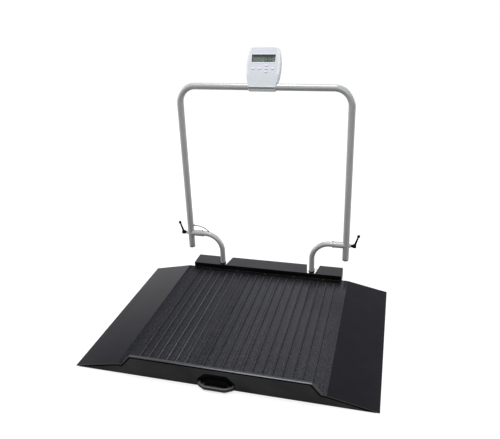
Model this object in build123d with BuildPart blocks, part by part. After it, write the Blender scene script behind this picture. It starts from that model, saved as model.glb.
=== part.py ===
from build123d import *
import math
import os

os.makedirs("parts", exist_ok=True)

# Wheelchair scale. Millimetres. X runs from ramp to ramp, Y from the front skirt to the rear,
# Z is up from the floor. The origin lies on the floor, in the middle of the overall box.

# Fits and clearances
running_gap = 0.06
seat_gap = 0.3
overrun = 5.0

# Platform
middle_from_front = 438.1
deck_width = 800.0
deck_depth = 796.0
deck_height = 42.0
deck_sheet = 3.0
rib_count = 19
rib_side_gap = 60.7
rib_width = 8.0
rib_height = 1.4
rib_rear_gap = 42.0
ramp_run = 182.5
ramp_tip = 1.5
ground_gap = 2.0
skirt_sheet = 2.5

# Curb along the front edge
curb_height = 44.0
curb_inset = 17.5
curb_run = 37.0
curb_top_depth = 12.0
curb_base_depth = 20.0
curb_bend = 3.0

# Steel frame under the deck
beam_size = 25.0
beam_wall = 2.0
beam_inset = 100.0
beam_end_gap = 40.0
cross_beam_shares = (0.1, 0.5, 0.82)
gusset_sheet = 3.0
gusset_count = 3
gusset_tip_height = 12.0

# Load cells and feet
cell_inset = 55.0
cell_corner_gap = 40.0
cell_width = 25.0
cell_length = 90.0
cell_height = 22.0
cell_spacer = 3.0
cell_spacer_length = 34.0
cell_hole = 12.0
foot_inset = 15.0
stud_diameter = 10.0
pad_diameter = 44.0
pad_height = 6.0
pad_edge = 1.5
nut_height = 6.0
nut_flats = 17.0
stud_above_cell = 2.0

# Junction box and its cables
box_gap = 12.6
box_width = 100.0
box_depth = 64.0
box_height = 22.0
box_wall = 2.0
lid_sheet = 2.0
board_sheet = 1.6
board_margin = 6.0
board_boss_diameter = 8.0
board_boss_height = 6.0
wire_diameter = 4.0
feed_shares = (-0.3, -0.1, 0.1, 0.3)

# Carry handle in its cup
handle_x = -4.0
opening_half = 72.0
opening_top = 59.0
opening_shoulder = 32.0
opening_corner_run = 30.0
opening_radius = 14.0
opening_lip = 3.0
cup_depth = 14.0
cup_wall = 2.0
cup_flange = 5.0
cup_flange_sheet = 2.0
boss_half = 46.0
boss_top = 33.0
boss_shoulder = 20.0
boss_corner_run = 13.0
boss_sink = 3.0
handle_axis_y = 4.6
handle_axis_z = 12.6
handle_half = 69.0
handle_reach = 24.5
handle_front_half = 40.0
handle_straight = 7.0
handle_bar = 7.0
handle_height = 14.0
pivot_diameter = 5.0

# Rear tray and cover
tray_inset = 34.0
tray_beyond = 73.5
tray_rim = 18.0
tray_sheet = 2.5
cover_inset = 31.0
cover_overlap = 10.0
cover_beyond = 75.5
cover_top = 68.5
cover_sheet = 2.0
cover_foot = 28.0
cover_foot_sheet = 2.0
cover_edge = 1.4
notch_front_half = 18.5
notch_back_half = 33.0
cover_screw_count = 5
cover_screw_side_gap = 86.0
cover_screw_inset = 7.0
screw_diameter = 5.0
screw_head_diameter = 9.0
screw_head_height = 2.2

# Transport wheels
wheel_beyond = 67.5
wheel_z = 32.0
wheel_diameter = 60.0
wheel_width = 24.0
wheel_hub_diameter = 34.0
wheel_web = 8.0
wheel_edge = 3.0
axle_diameter = 10.0
fork_sheet = 3.0
fork_gap = 1.5
fork_base = 26.0
fork_eye_diameter = 20.0

# Posts, sockets and clamps
post_from_leg = 159.0
post_beyond = 13.0
post_diameter = 25.0
post_wall = 2.0
post_bend = 84.0
pivot_z = 222.5
post_end_gap = 1.4
spigot_height = 52.0
socket_plate = 5.0
socket_width = 62.0
socket_depth = 44.0
socket_front_gap = 0.5
socket_bolt_pitch_x = 46.0
socket_bolt_pitch_y = 28.0
socket_bolt_head = 5.0
collar_height = 9.0
collar_wall = 1.8
collar_above_cover = 3.5
pin_diameter = 5.0
pin_out = 3.0
clamp_nut_length = 24.0
clamp_stud_diameter = 8.0
clamp_stud_grip = 16.0

# Handrail
rail_half = 383.0
rail_height = 946.0
rail_diameter = 30.0
rail_wall = 2.0
rail_bend = 75.0
rail_foot_z = 152.0
plug_height = 8.5
plug_depth = 14.0
sleeve_from_leg = 64.0
notch_depth = 6.0
stop_slack = 2.0
washer_length = 8.0
washer_diameter = 17.0

# Clamp levers
neck_length = 7.0
neck_diameter = 13.0
hub_length = 16.5
hub_diameter = 19.0
hub_edge = 2.0
spline_diameter = 9.0
spline_length = 12.0
lever_lift = 4.0
lever_rise = 51.5
lever_lean = 17.0
arm_diameter = 9.5
arm_tip_diameter = 7.5
ball_diameter = 14.5

# Display
display_tilt = 26.0
display_corner_half = 60.5
display_corner = 167.0
display_corner_radius = 14.0
display_foot_radius = 3.0
display_crown = 172.0
display_wide_half = 74.0
display_wide = 85.0
display_base_half = 58.5
display_base = -5.5
display_front = 20.0
display_rear = 20.0
display_wall = 2.5
display_front_edge = 4.0
display_rear_edge = 5.0
crease = 49.0
crease_drop = 4.0
saddle_wall = 2.4
window_width = 104.0
window_height = 33.0
window_middle = 117.0
lens_sheet = 2.0
lens_sink = 1.0
lcd_margin = 2.5
board_half = 57.0
board_bottom = 42.0
board_top = 156.0
board_level = 8.0
switch_height = 0.6
screw_low_half = 52.0
screw_low = 48.0
screw_high_half = 50.0
screw_high = 150.0
case_boss_diameter = 7.0
case_screw_diameter = 3.0
case_screw_head = 5.6
case_screw_sink = 3.0
button_length = 14.5
button_width = 6.5
button_proud = 1.2
button_gap = 0.25
button_flange = 1.4
button_flange_sheet = 1.5
button_travel = 0.8
button_row = 73.0
button_pitch = 28.4
button_step = 13.5
bracket_wall = 5.0

# Signal cable from the left leg to the left post: its route, set by hand, as distances in from
# the middle of the leg and up from the floor
cable_points = (
    (20.0, 263.5),
    (40.0, 263.5),
    (66.5, 255.5),
    (83.2, 245.8),
    (89.8, 237.1),
)
cable_diameter = 4.2
cable_grommet_diameter = 7.4
gland_length = 10.0
bend_share = 0.45

# Thin lead from the right post to the rear cover: its route, set by hand, as distances out from
# the middle of the post and up from the floor
lead_points = (
    (14.5, 81.5),
    (21.0, 81.5),
    (28.5, 76.7),
    (28.5, 70.5),
)
lead_diameter = 1.8
lead_grommet_diameter = 4.6

# Derived places
front_y = -middle_from_front
rear_y = front_y + deck_depth
deck_front_y = front_y + skirt_sheet
deck_rear_y = rear_y - skirt_sheet
deck_under = deck_height - deck_sheet
edge_x = deck_width / 2
rib_pitch = (deck_width - 2 * rib_side_gap) / (rib_count - 1)
beam_x = edge_x - beam_inset
cell_x = edge_x - cell_inset
tray_half = edge_x - tray_inset
cover_half = edge_x - cover_inset
cover_screw_pitch = 2 * (cover_half - cover_screw_side_gap) / (cover_screw_count - 1)
toe_x = edge_x + ramp_run
toe_top = ground_gap + ramp_tip
curb_top = deck_height + curb_height
curb_foot_x = edge_x - curb_inset
curb_top_x = curb_foot_x - curb_run
post_x = rail_half - post_from_leg
post_plane_y = rear_y + post_beyond
sleeve_end = rail_half - sleeve_from_leg
wheel_x = (post_x + socket_width / 2 + cover_half) / 2
wheel_plane_y = rear_y + wheel_beyond
tray_back_y = rear_y + tray_beyond
cover_front_y = rear_y - cover_overlap
cover_back_y = rear_y + cover_beyond
cable_route = tuple((place - rail_half, level) for place, level in cable_points)
lead_route = tuple((post_x + place, level) for place, level in lead_points)
leg_inner = rail_half - rail_diameter / 2
leg_outer = rail_half + rail_diameter / 2
post_end = leg_inner - post_end_gap
sides = ((-1, "left"), (1, "right"))
corners = ((-1, -1), (1, -1), (-1, 1), (1, 1))


def upright(depth):
    """A plane facing the front at this depth: its own x is X and its own y is Z."""
    return Plane.XZ.offset(-depth)


def across(place):
    """A plane square to X at this place: its own x is Y and its own y is Z."""
    return Plane.YZ.offset(place)


def finish(part, label):
    """Labels a finished piece and writes it to its own file."""
    part.label = label
    export_step(part, f"parts/{label}.step")


# Deck plate with pressed ribs that run from the curb to the rear cover
cup_clear_half = opening_half + cup_flange + seat_gap
deck_mid_z = deck_height - deck_sheet / 2
rib_front_y = front_y + curb_base_depth
rib_rear_y = rear_y - rib_rear_gap
with BuildSketch() as rib_profile:
    with BuildLine():
        ThreePointArc((-rib_width / 2, 0), (0, rib_height), (rib_width / 2, 0))
        Line((rib_width / 2, 0), (-rib_width / 2, 0))
    make_face()
with BuildPart() as deck_plate:
    with BuildSketch(upright(deck_rear_y)):
        with Locations((0, deck_mid_z)):
            Rectangle(deck_width, deck_sheet)
    extrude(amount=deck_rear_y - deck_front_y)
    with BuildSketch(upright(rib_rear_y)):
        with Locations((0, deck_height)):
            with GridLocations(rib_pitch, rib_pitch, rib_count, 1):
                add(rib_profile.sketch)
    extrude(amount=rib_rear_y - rib_front_y)
    with BuildSketch(Plane.XY.offset(deck_under - overrun)):
        with Locations((handle_x, deck_front_y)):
            Rectangle(2 * cup_clear_half, 2 * (cup_depth - skirt_sheet + seat_gap))
    extrude(amount=deck_sheet + 2 * overrun, mode=Mode.SUBTRACT)
finish(deck_plate.part, "deck_plate")

# Ramps: plates that fall from the deck to just above the floor and thin out at the toe
for side, name in sides:
    with BuildPart() as ramp:
        with BuildSketch(upright(deck_rear_y)):
            Polygon(
                (side * edge_x, deck_height),
                (side * toe_x, toe_top),
                (side * toe_x, ground_gap),
                (side * edge_x, deck_under),
                align=None,
            )
        extrude(amount=deck_rear_y - deck_front_y)
    finish(ramp.part, f"{name}_ramp")

# Gussets that stand under each ramp
ramp_slope = (deck_under - ground_gap) / ramp_run
gusset_reach = ramp_run - (gusset_tip_height - ground_gap) / ramp_slope
gusset_step = (deck_rear_y - deck_front_y) / (gusset_count + 1)
gusset_half = gusset_sheet / 2
with BuildPart() as ramp_gussets:
    for index in range(gusset_count):
        place = deck_front_y + (index + 1) * gusset_step
        with BuildSketch(upright(place + gusset_half)):
            for side, name in sides:
                Polygon(
                    (side * edge_x, deck_under),
                    (side * (edge_x + gusset_reach), gusset_tip_height),
                    (side * (edge_x + gusset_reach), gusset_tip_height / 2),
                    (side * edge_x, gusset_tip_height / 2),
                    align=None,
                )
        extrude(amount=gusset_sheet)
finish(ramp_gussets.part, "ramp_gussets")


def opening_outline(grow):
    """Corner points of the handle opening, moved outwards by a width, without its lower side."""
    half = opening_half + grow
    top = opening_top + grow
    run = opening_corner_run
    shoulder = opening_shoulder + grow / 2
    return (
        (handle_x - half, shoulder),
        (handle_x - half + run, top),
        (handle_x + half - run, top),
        (handle_x + half, shoulder),
    )


# Front skirt: one plate from toe to toe with a hollow curb along its top
opening_floor = ground_gap + opening_lip
curb_slope = (curb_base_depth - curb_top_depth) / curb_height
with BuildPart() as front_skirt:
    with BuildSketch(upright(deck_front_y)):
        Polygon(
            (-toe_x, ground_gap),
            (-toe_x, toe_top),
            (-edge_x, deck_height),
            (-curb_foot_x, deck_height),
            (-curb_top_x, curb_top),
            (curb_top_x, curb_top),
            (curb_foot_x, deck_height),
            (edge_x, deck_height),
            (toe_x, toe_top),
            (toe_x, ground_gap),
            align=None,
        )
    extrude(amount=skirt_sheet)
    with BuildSketch(upright(front_y + curb_base_depth)):
        Polygon(
            (-curb_foot_x, deck_height),
            (-curb_top_x, curb_top),
            (curb_top_x, curb_top),
            (curb_foot_x, deck_height),
            align=None,
        )
    extrude(amount=curb_base_depth)
    with BuildSketch(across(-curb_foot_x - overrun)):
        Polygon(
            (front_y + curb_top_depth, curb_top),
            (front_y + curb_base_depth, deck_height),
            (front_y + curb_base_depth + overrun, deck_height),
            (front_y + curb_base_depth + overrun, curb_top + overrun),
            (front_y + curb_top_depth, curb_top + overrun),
            align=None,
        )
    extrude(amount=2 * (curb_foot_x + overrun), mode=Mode.SUBTRACT)
    hollow_top = curb_top - skirt_sheet
    hollow_top_y = front_y + curb_top_depth - skirt_sheet + curb_slope * skirt_sheet
    with BuildSketch(across(-curb_top_x)):
        Polygon(
            (deck_front_y, deck_height - overrun),
            (deck_front_y, hollow_top),
            (hollow_top_y, hollow_top),
            (front_y + curb_base_depth - skirt_sheet, deck_height),
            (front_y + curb_base_depth - skirt_sheet, deck_height - overrun),
            align=None,
        )
    extrude(amount=2 * curb_top_x, mode=Mode.SUBTRACT)
    bend_edges = front_skirt.edges().group_by(Axis.Z)[-1].filter_by(Axis.X)
    fillet(bend_edges, curb_bend)
    with BuildSketch(upright(deck_front_y)):
        with BuildLine():
            bottom = ((handle_x + opening_half, opening_floor), (handle_x - opening_half, opening_floor))
            Polyline(*bottom, *opening_outline(0), bottom[0])
        make_face()
    extrude(amount=skirt_sheet, mode=Mode.SUBTRACT)
    hole_edges = front_skirt.edges().filter_by(Axis.Y).filter_by(
        lambda e: abs(e.center().X - handle_x) < opening_half + seat_gap
        and opening_floor + seat_gap < e.center().Z < opening_top + seat_gap
    )
    fillet(hole_edges, opening_radius)
finish(front_skirt.part, "front_skirt")

# Rear skirt: the plain plate that closes the deck and both ramps at the back
with BuildPart() as rear_skirt:
    with BuildSketch(upright(rear_y)):
        Polygon(
            (-toe_x, ground_gap),
            (-toe_x, toe_top),
            (-edge_x, deck_height),
            (edge_x, deck_height),
            (toe_x, toe_top),
            (toe_x, ground_gap),
            align=None,
        )
    extrude(amount=skirt_sheet)
finish(rear_skirt.part, "rear_skirt")

# Frame under the deck: two long tubes and three cross tubes, welded into one piece
beam_mid_z = deck_under - beam_size / 2
beam_front_y = deck_front_y + beam_end_gap
beam_rear_y = deck_rear_y - beam_end_gap
beam_bore = beam_size - 2 * beam_wall
cross_start = -beam_x + beam_size / 2
with BuildPart() as frame_beams:
    with BuildSketch(upright(beam_rear_y)):
        with Locations((-beam_x, beam_mid_z), (beam_x, beam_mid_z)):
            Rectangle(beam_size, beam_size)
            Rectangle(beam_bore, beam_bore, mode=Mode.SUBTRACT)
    extrude(amount=beam_rear_y - beam_front_y)
    with BuildSketch(across(cross_start)):
        for share in cross_beam_shares:
            with Locations((front_y + share * deck_depth, beam_mid_z)):
                Rectangle(beam_size, beam_size)
                Rectangle(beam_bore, beam_bore, mode=Mode.SUBTRACT)
    extrude(amount=-2 * cross_start)
finish(frame_beams.part, "frame_beams")

# Load cells: one shear beam in each corner, bolted to the deck at its inner end
cell_top = deck_under - cell_spacer
cell_under = cell_top - cell_height
foot_front_y = front_y + cell_corner_gap + foot_inset
foot_rear_y = rear_y - cell_corner_gap - foot_inset
foot_y = {-1: foot_front_y, 1: foot_rear_y}
with BuildPart() as load_cells:
    for x_side, y_side in corners:
        outer_y = foot_y[y_side] + y_side * foot_inset
        mid_y = outer_y - y_side * cell_length / 2
        fixed_y = outer_y - y_side * (cell_length - cell_spacer_length / 2)
        with BuildSketch(Plane.XY.offset(cell_under)):
            with Locations((x_side * cell_x, mid_y)):
                Rectangle(cell_width, cell_length)
        extrude(amount=cell_height)
        with BuildSketch(Plane.XY.offset(cell_top)):
            with Locations((x_side * cell_x, fixed_y)):
                Rectangle(cell_width, cell_spacer_length)
        extrude(amount=cell_spacer)
        with BuildSketch(across(x_side * cell_x - cell_width)):
            with Locations((mid_y, cell_under + cell_height / 2)):
                SlotOverall(2 * cell_hole, cell_hole)
        extrude(amount=2 * cell_width, mode=Mode.SUBTRACT)
        with BuildSketch(Plane.XY.offset(cell_under - overrun)):
            with Locations((x_side * cell_x, foot_y[y_side])):
                Circle(stud_diameter / 2 + running_gap)
        extrude(amount=cell_height + 2 * overrun, mode=Mode.SUBTRACT)
finish(load_cells.part, "load_cells")

# Lock nuts under the cells
with BuildPart() as foot_nuts:
    with BuildSketch(Plane.XY.offset(cell_under - nut_height)):
        for x_side, y_side in corners:
            with Locations((x_side * cell_x, foot_y[y_side])):
                RegularPolygon(nut_flats / 2, 6, major_radius=False)
                Circle(stud_diameter / 2 + running_gap, mode=Mode.SUBTRACT)
    extrude(amount=nut_height)
finish(foot_nuts.part, "foot_nuts")

# Levelling feet: a round pad on a threaded stud, one at each corner
stud_top = cell_top + stud_above_cell
for x_side, y_side in corners:
    place = (x_side * cell_x, foot_y[y_side])
    with BuildPart() as foot:
        with BuildSketch():
            with Locations(place):
                Circle(pad_diameter / 2)
        extrude(amount=pad_height)
        fillet(foot.edges().filter_by(GeomType.CIRCLE), pad_edge)
        with BuildSketch(Plane.XY.offset(pad_height)):
            with Locations(place):
                Circle(stud_diameter / 2)
        extrude(amount=stud_top - pad_height)
    foot_name = ("front_" if y_side < 0 else "rear_") + ("left" if x_side < 0 else "right") + "_foot"
    finish(foot.part, foot_name)

# Junction box on the underside of the deck, its board and its lid
feed_start_y = front_y + cross_beam_shares[-1] * deck_depth + beam_size / 2
box_mid_y = feed_start_y + box_gap + box_depth / 2
box_under = deck_under - box_height
with BuildPart() as junction_box:
    with BuildSketch(Plane.XY.offset(box_under)):
        with Locations((0, box_mid_y)):
            Rectangle(box_width, box_depth)
    extrude(amount=box_height)
    with BuildSketch(Plane.XY.offset(box_under)):
        with Locations((0, box_mid_y)):
            Rectangle(box_width - 2 * box_wall, box_depth - 2 * box_wall)
    extrude(amount=box_height - box_wall, mode=Mode.SUBTRACT)
    with BuildSketch(Plane.XY.offset(deck_under - box_wall)):
        with Locations((0, box_mid_y)):
            with GridLocations(box_width - 4 * board_margin, box_depth - 4 * board_margin, 2, 2):
                Circle(board_boss_diameter / 2)
    extrude(amount=-board_boss_height)
finish(junction_box.part, "junction_box")

board_face = deck_under - box_wall - board_boss_height
with BuildPart() as junction_board:
    with BuildSketch(Plane.XY.offset(board_face)):
        with Locations((0, box_mid_y)):
            Rectangle(box_width - 2 * board_margin, box_depth - 2 * board_margin)
    extrude(amount=-board_sheet)
finish(junction_board.part, "junction_board")

with BuildPart() as junction_lid:
    with BuildSketch(Plane.XY.offset(box_under)):
        with Locations((0, box_mid_y)):
            Rectangle(box_width, box_depth)
    extrude(amount=-lid_sheet)
finish(junction_lid.part, "junction_lid")

# Load cell cables: the short runs that show, from each cell into the hollow frame and from
# the rear cross tube into the junction box. Between them the cables run inside the tubes.
cell_mid_z = cell_under + cell_height / 2
feed_end_y = box_mid_y - box_depth / 2
with BuildPart() as cell_cables:
    for x_side, y_side in corners:
        start_y = foot_y[y_side] + y_side * foot_inset - y_side * (cell_length - cell_hole)
        run_start = min(x_side * (beam_x + beam_size / 2), x_side * (cell_x - cell_width / 2))
        with BuildSketch(across(run_start)):
            with Locations((start_y, cell_mid_z)):
                Circle(wire_diameter / 2)
        extrude(amount=cell_x - cell_width / 2 - beam_x - beam_size / 2)
    with BuildSketch(upright(feed_end_y)):
        for share in feed_shares:
            with Locations((share * box_width, beam_mid_z)):
                Circle(wire_diameter / 2)
    extrude(amount=feed_end_y - feed_start_y)
finish(cell_cables.part, "cell_cables")

# Handle cup: a moulded tray behind the skirt with a groove the folded handle drops into
cup_rear_y = front_y + cup_depth
pivot_y = front_y + handle_axis_y
with BuildPart() as handle_cup:
    with BuildSketch(upright(cup_rear_y)) as cup_face:
        with BuildLine():
            floor_z = opening_floor + seat_gap
            half = opening_half - seat_gap
            base = ((handle_x + half, floor_z), (handle_x - half, floor_z))
            Polyline(*base, *opening_outline(-seat_gap), base[0])
        make_face()
        fillet(cup_face.vertices().group_by(Axis.Y)[1:], opening_radius - seat_gap)
    extrude(amount=cup_depth)
    with BuildSketch(upright(deck_front_y + cup_flange_sheet)):
        with BuildLine():
            half = opening_half + cup_flange
            base = ((handle_x + half, opening_floor), (handle_x - half, opening_floor))
            Polyline(*base, *opening_outline(cup_flange), base[0])
        make_face()
    extrude(amount=cup_flange_sheet)
    with BuildSketch(upright(cup_rear_y - cup_wall)) as groove:
        with BuildLine():
            floor_z = opening_floor - overrun
            half = opening_half - seat_gap - cup_wall
            base = ((handle_x + half, floor_z), (handle_x - half, floor_z))
            Polyline(*base, *opening_outline(-seat_gap - cup_wall), base[0])
        make_face()
        fillet(groove.vertices().group_by(Axis.Y)[1:], opening_radius - seat_gap - cup_wall)
        with BuildLine():
            Polyline(
                (handle_x - boss_half, floor_z),
                (handle_x - boss_half, boss_shoulder),
                (handle_x - boss_half + boss_corner_run, boss_top),
                (handle_x + boss_half - boss_corner_run, boss_top),
                (handle_x + boss_half, boss_shoulder),
                (handle_x + boss_half, floor_z),
                close=True,
            )
        make_face(mode=Mode.SUBTRACT)
    extrude(amount=cup_depth, mode=Mode.SUBTRACT)
    with BuildSketch(upright(front_y + boss_sink)):
        with Locations((handle_x, boss_top / 2)):
            Rectangle(2 * boss_half + overrun, boss_top + overrun)
    extrude(amount=boss_sink + overrun, mode=Mode.SUBTRACT)
    with BuildSketch(across(handle_x - opening_half)):
        with Locations((pivot_y, handle_axis_z)):
            Circle(pivot_diameter / 2 + running_gap)
    extrude(amount=2 * opening_half, mode=Mode.SUBTRACT)
finish(handle_cup.part, "handle_cup")

# Handle pivots: a pin through each ear, from the cup's side wall into the boss
pin_outer = opening_half - seat_gap - cup_wall / 2
pin_inner = boss_half - 2 * cup_wall
with BuildPart() as handle_pivots:
    for side, name in sides:
        start = min(side * pin_outer, side * pin_inner)
        with BuildSketch(across(handle_x + start)):
            with Locations((pivot_y, handle_axis_z)):
                Circle(pivot_diameter / 2)
        extrude(amount=pin_outer - pin_inner)
finish(handle_pivots.part, "handle_pivots")

# Carry handle: a bail of flat bar that lies forward and folds up into the cup
ear_back_y = pivot_y + handle_height / 2
handle_front_y = front_y - handle_reach
with BuildPart() as carry_handle:
    with BuildSketch(Plane.XY.offset(handle_axis_z - handle_height / 2)):
        Polygon(
            (handle_x - handle_half, ear_back_y + 2 * handle_bar),
            (handle_x - handle_half, front_y - handle_straight),
            (handle_x - handle_front_half, handle_front_y),
            (handle_x + handle_front_half, handle_front_y),
            (handle_x + handle_half, front_y - handle_straight),
            (handle_x + handle_half, ear_back_y + 2 * handle_bar),
            align=None,
        )
        offset(amount=-handle_bar, mode=Mode.SUBTRACT)
        with Locations((handle_x, ear_back_y + handle_bar)):
            Rectangle(2 * handle_half + overrun, 2 * handle_bar, mode=Mode.SUBTRACT)
    extrude(amount=handle_height)
    ear_edges = carry_handle.edges().filter_by(Axis.X).group_by(Axis.Y)[-1]
    fillet(ear_edges, handle_height / 2 - seat_gap)
    bend_edges = carry_handle.edges().filter_by(Axis.Z)
    fillet(bend_edges.filter_by(lambda e: e.center().Y < front_y), handle_bar / 2)
    with BuildSketch(across(handle_x - opening_half)):
        with Locations((pivot_y, handle_axis_z)):
            Circle(pivot_diameter / 2 + running_gap)
    extrude(amount=2 * opening_half, mode=Mode.SUBTRACT)
finish(carry_handle.part, "carry_handle")

# Rear tray: a low channel behind the deck that carries the posts and the wheels
tray_front_y = rear_y
tray_mid_y = (tray_front_y + tray_back_y) / 2
tray_depth = tray_back_y - tray_front_y
slot_half = wheel_width / 2 + fork_gap + fork_sheet + 2 * seat_gap
slot_front_y = wheel_plane_y - wheel_diameter / 2 - fork_gap
with BuildPart() as rear_tray:
    with BuildSketch(Plane.XY.offset(ground_gap)):
        with Locations((0, tray_mid_y)):
            Rectangle(2 * tray_half, tray_depth)
    extrude(amount=tray_rim - ground_gap)
    with BuildSketch(Plane.XY.offset(ground_gap + tray_sheet)):
        with Locations((0, tray_mid_y - tray_sheet)):
            Rectangle(2 * (tray_half - tray_sheet), tray_depth)
    extrude(amount=tray_rim, mode=Mode.SUBTRACT)
    with BuildSketch(Plane.XY.offset(ground_gap - overrun)):
        for side, name in sides:
            with Locations((side * wheel_x, slot_front_y)):
                Rectangle(2 * slot_half, deck_depth, align=(Align.CENTER, Align.MIN))
    extrude(amount=tray_rim + 2 * overrun, mode=Mode.SUBTRACT)
finish(rear_tray.part, "rear_tray")

# Rear cover: one bent sheet with a front face, a foot on the deck and three box-shaped blocks
cover_mid_y = (cover_front_y + cover_back_y) / 2
foot_front = cover_front_y - cover_foot
notch_start_y = cover_front_y + cover_sheet
left_block = (
    (-cover_half, cover_front_y),
    (-post_x - notch_front_half, cover_front_y),
    (-post_x - notch_back_half, cover_back_y),
    (-cover_half, cover_back_y),
)
middle_block = (
    (-post_x + notch_front_half, cover_front_y),
    (post_x - notch_front_half, cover_front_y),
    (post_x - notch_back_half, cover_back_y),
    (-post_x + notch_back_half, cover_back_y),
)
right_block = tuple((-x, y) for x, y in reversed(left_block))
blocks = (left_block, middle_block, right_block)
screw_y = cover_front_y - cover_screw_inset
with BuildPart() as rear_cover:
    with BuildSketch(Plane.XY.offset(deck_height)):
        with Locations((0, cover_mid_y)):
            Rectangle(2 * cover_half, cover_back_y - cover_front_y)
    extrude(amount=cover_top - deck_height)
    with BuildSketch(Plane.XY.offset(tray_rim)):
        with Locations((0, cover_back_y)):
            Rectangle(
                2 * cover_half,
                cover_back_y - rear_y - seat_gap,
                align=(Align.CENTER, Align.MAX),
            )
    extrude(amount=deck_height - tray_rim)
    with BuildSketch(Plane.XY.offset(tray_rim - overrun)):
        for side, name in sides:
            Polygon(
                (side * (post_x - notch_front_half), notch_start_y),
                (side * (post_x + notch_front_half), notch_start_y),
                (side * (post_x + notch_back_half), cover_back_y + overrun),
                (side * (post_x - notch_back_half), cover_back_y + overrun),
                align=None,
            )
    extrude(amount=cover_top, mode=Mode.SUBTRACT)
    top_edges = rear_cover.edges().group_by(Axis.Z)[-1].filter_by(Axis.X)
    fillet(top_edges.group_by(Axis.Y)[0], cover_edge)
    for block in blocks:
        with BuildSketch(Plane.XY.offset(tray_rim - overrun)):
            Polygon(*block, align=None)
            offset(amount=-cover_sheet, kind=Kind.INTERSECTION)
        extrude(amount=cover_top - cover_sheet - tray_rim + overrun, mode=Mode.SUBTRACT)
    with BuildSketch(Plane.XY.offset(deck_height)):
        with Locations((0, cover_front_y)):
            Rectangle(2 * cover_half, cover_foot, align=(Align.CENTER, Align.MAX))
    extrude(amount=cover_foot_sheet)
    with BuildSketch(Plane.XY.offset(deck_height - overrun)):
        with Locations((0, screw_y)):
            with GridLocations(cover_screw_pitch, cover_screw_pitch, cover_screw_count, 1):
                Circle(screw_diameter / 2 + running_gap)
    extrude(amount=cover_foot_sheet + 2 * overrun, mode=Mode.SUBTRACT)
    with BuildSketch(upright(cover_back_y + overrun)):
        for side, name in sides:
            with Locations((side * wheel_x, tray_rim - overrun)):
                Rectangle(
                    2 * slot_half,
                    wheel_z + wheel_diameter / 2 + fork_gap - tray_rim + overrun,
                    align=(Align.CENTER, Align.MIN),
                )
    extrude(amount=2 * overrun, mode=Mode.SUBTRACT)
    with BuildSketch(Plane.XY.offset(cover_top - overrun)):
        with Locations((lead_route[-1][0], post_plane_y)):
            Circle(lead_grommet_diameter / 2)
    extrude(amount=2 * overrun, mode=Mode.SUBTRACT)
finish(rear_cover.part, "rear_cover")

# Screws that hold the cover's foot down
with BuildPart() as cover_screws:
    with BuildSketch(Plane.XY.offset(deck_height)):
        with Locations((0, screw_y)):
            with GridLocations(cover_screw_pitch, cover_screw_pitch, cover_screw_count, 1):
                Circle(screw_diameter / 2)
    extrude(amount=cover_foot_sheet)
    with BuildSketch(Plane.XY.offset(deck_height + cover_foot_sheet)):
        with Locations((0, screw_y)):
            with GridLocations(cover_screw_pitch, cover_screw_pitch, cover_screw_count, 1):
                Circle(screw_head_diameter / 2)
    extrude(amount=screw_head_height)
    head_edges = cover_screws.edges().group_by(Axis.Z)[-1]
    fillet(head_edges, screw_head_height * 2 / 3)
finish(cover_screws.part, "cover_screws")

# Wheel forks: two cheeks and a base plate each, welded to the tray's floor
tray_floor = ground_gap + tray_sheet
fork_start_y = slot_front_y - fork_base
fork_half = wheel_width / 2 + fork_gap
with BuildPart() as wheel_forks:
    for side, name in sides:
        with BuildSketch(Plane.XY.offset(tray_floor)):
            with Locations((side * wheel_x, fork_start_y)):
                Rectangle(2 * (fork_half + fork_sheet), fork_base, align=(Align.CENTER, Align.MIN))
        extrude(amount=fork_sheet)
        for cheek in (-fork_half - fork_sheet, fork_half):
            with BuildSketch(across(side * wheel_x + cheek)):
                with BuildLine():
                    Polyline(
                        (fork_start_y, tray_floor),
                        (fork_start_y + fork_base, tray_floor),
                        (wheel_plane_y, wheel_z - fork_eye_diameter / 2),
                        (wheel_plane_y, wheel_z + fork_eye_diameter / 2),
                        (fork_start_y, wheel_z),
                        close=True,
                    )
                make_face()
                with Locations((wheel_plane_y, wheel_z)):
                    Circle(fork_eye_diameter / 2)
                    Circle(axle_diameter / 2, mode=Mode.SUBTRACT)
            extrude(amount=fork_sheet)
finish(wheel_forks.part, "wheel_forks")

# Wheel axles, pressed into the forks
axle_half = fork_half + fork_sheet
with BuildPart() as wheel_axles:
    for side, name in sides:
        with BuildSketch(across(side * wheel_x - axle_half)):
            with Locations((wheel_plane_y, wheel_z)):
                Circle(axle_diameter / 2)
        extrude(amount=2 * axle_half)
finish(wheel_axles.part, "wheel_axles")

# Transport wheels: moulded, with a recessed web on each side
for side, name in sides:
    with BuildPart() as wheel:
        with BuildSketch(across(side * wheel_x - wheel_width / 2)):
            with Locations((wheel_plane_y, wheel_z)):
                Circle(wheel_diameter / 2)
        extrude(amount=wheel_width)
        fillet(wheel.edges().filter_by(GeomType.CIRCLE), wheel_edge)
        for face_x, inward in ((-wheel_width / 2, 1), (wheel_width / 2, -1)):
            with BuildSketch(across(side * wheel_x + face_x)):
                with Locations((wheel_plane_y, wheel_z)):
                    Circle(wheel_hub_diameter / 2 + wheel_edge)
                    Circle(axle_diameter, mode=Mode.SUBTRACT)
            extrude(amount=inward * (wheel_width - wheel_web) / 2, mode=Mode.SUBTRACT)
        with BuildSketch(across(side * wheel_x - wheel_width)):
            with Locations((wheel_plane_y, wheel_z)):
                Circle(axle_diameter / 2 + running_gap)
        extrude(amount=2 * wheel_width, mode=Mode.SUBTRACT)
    finish(wheel.part, f"{name}_wheel")

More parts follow.
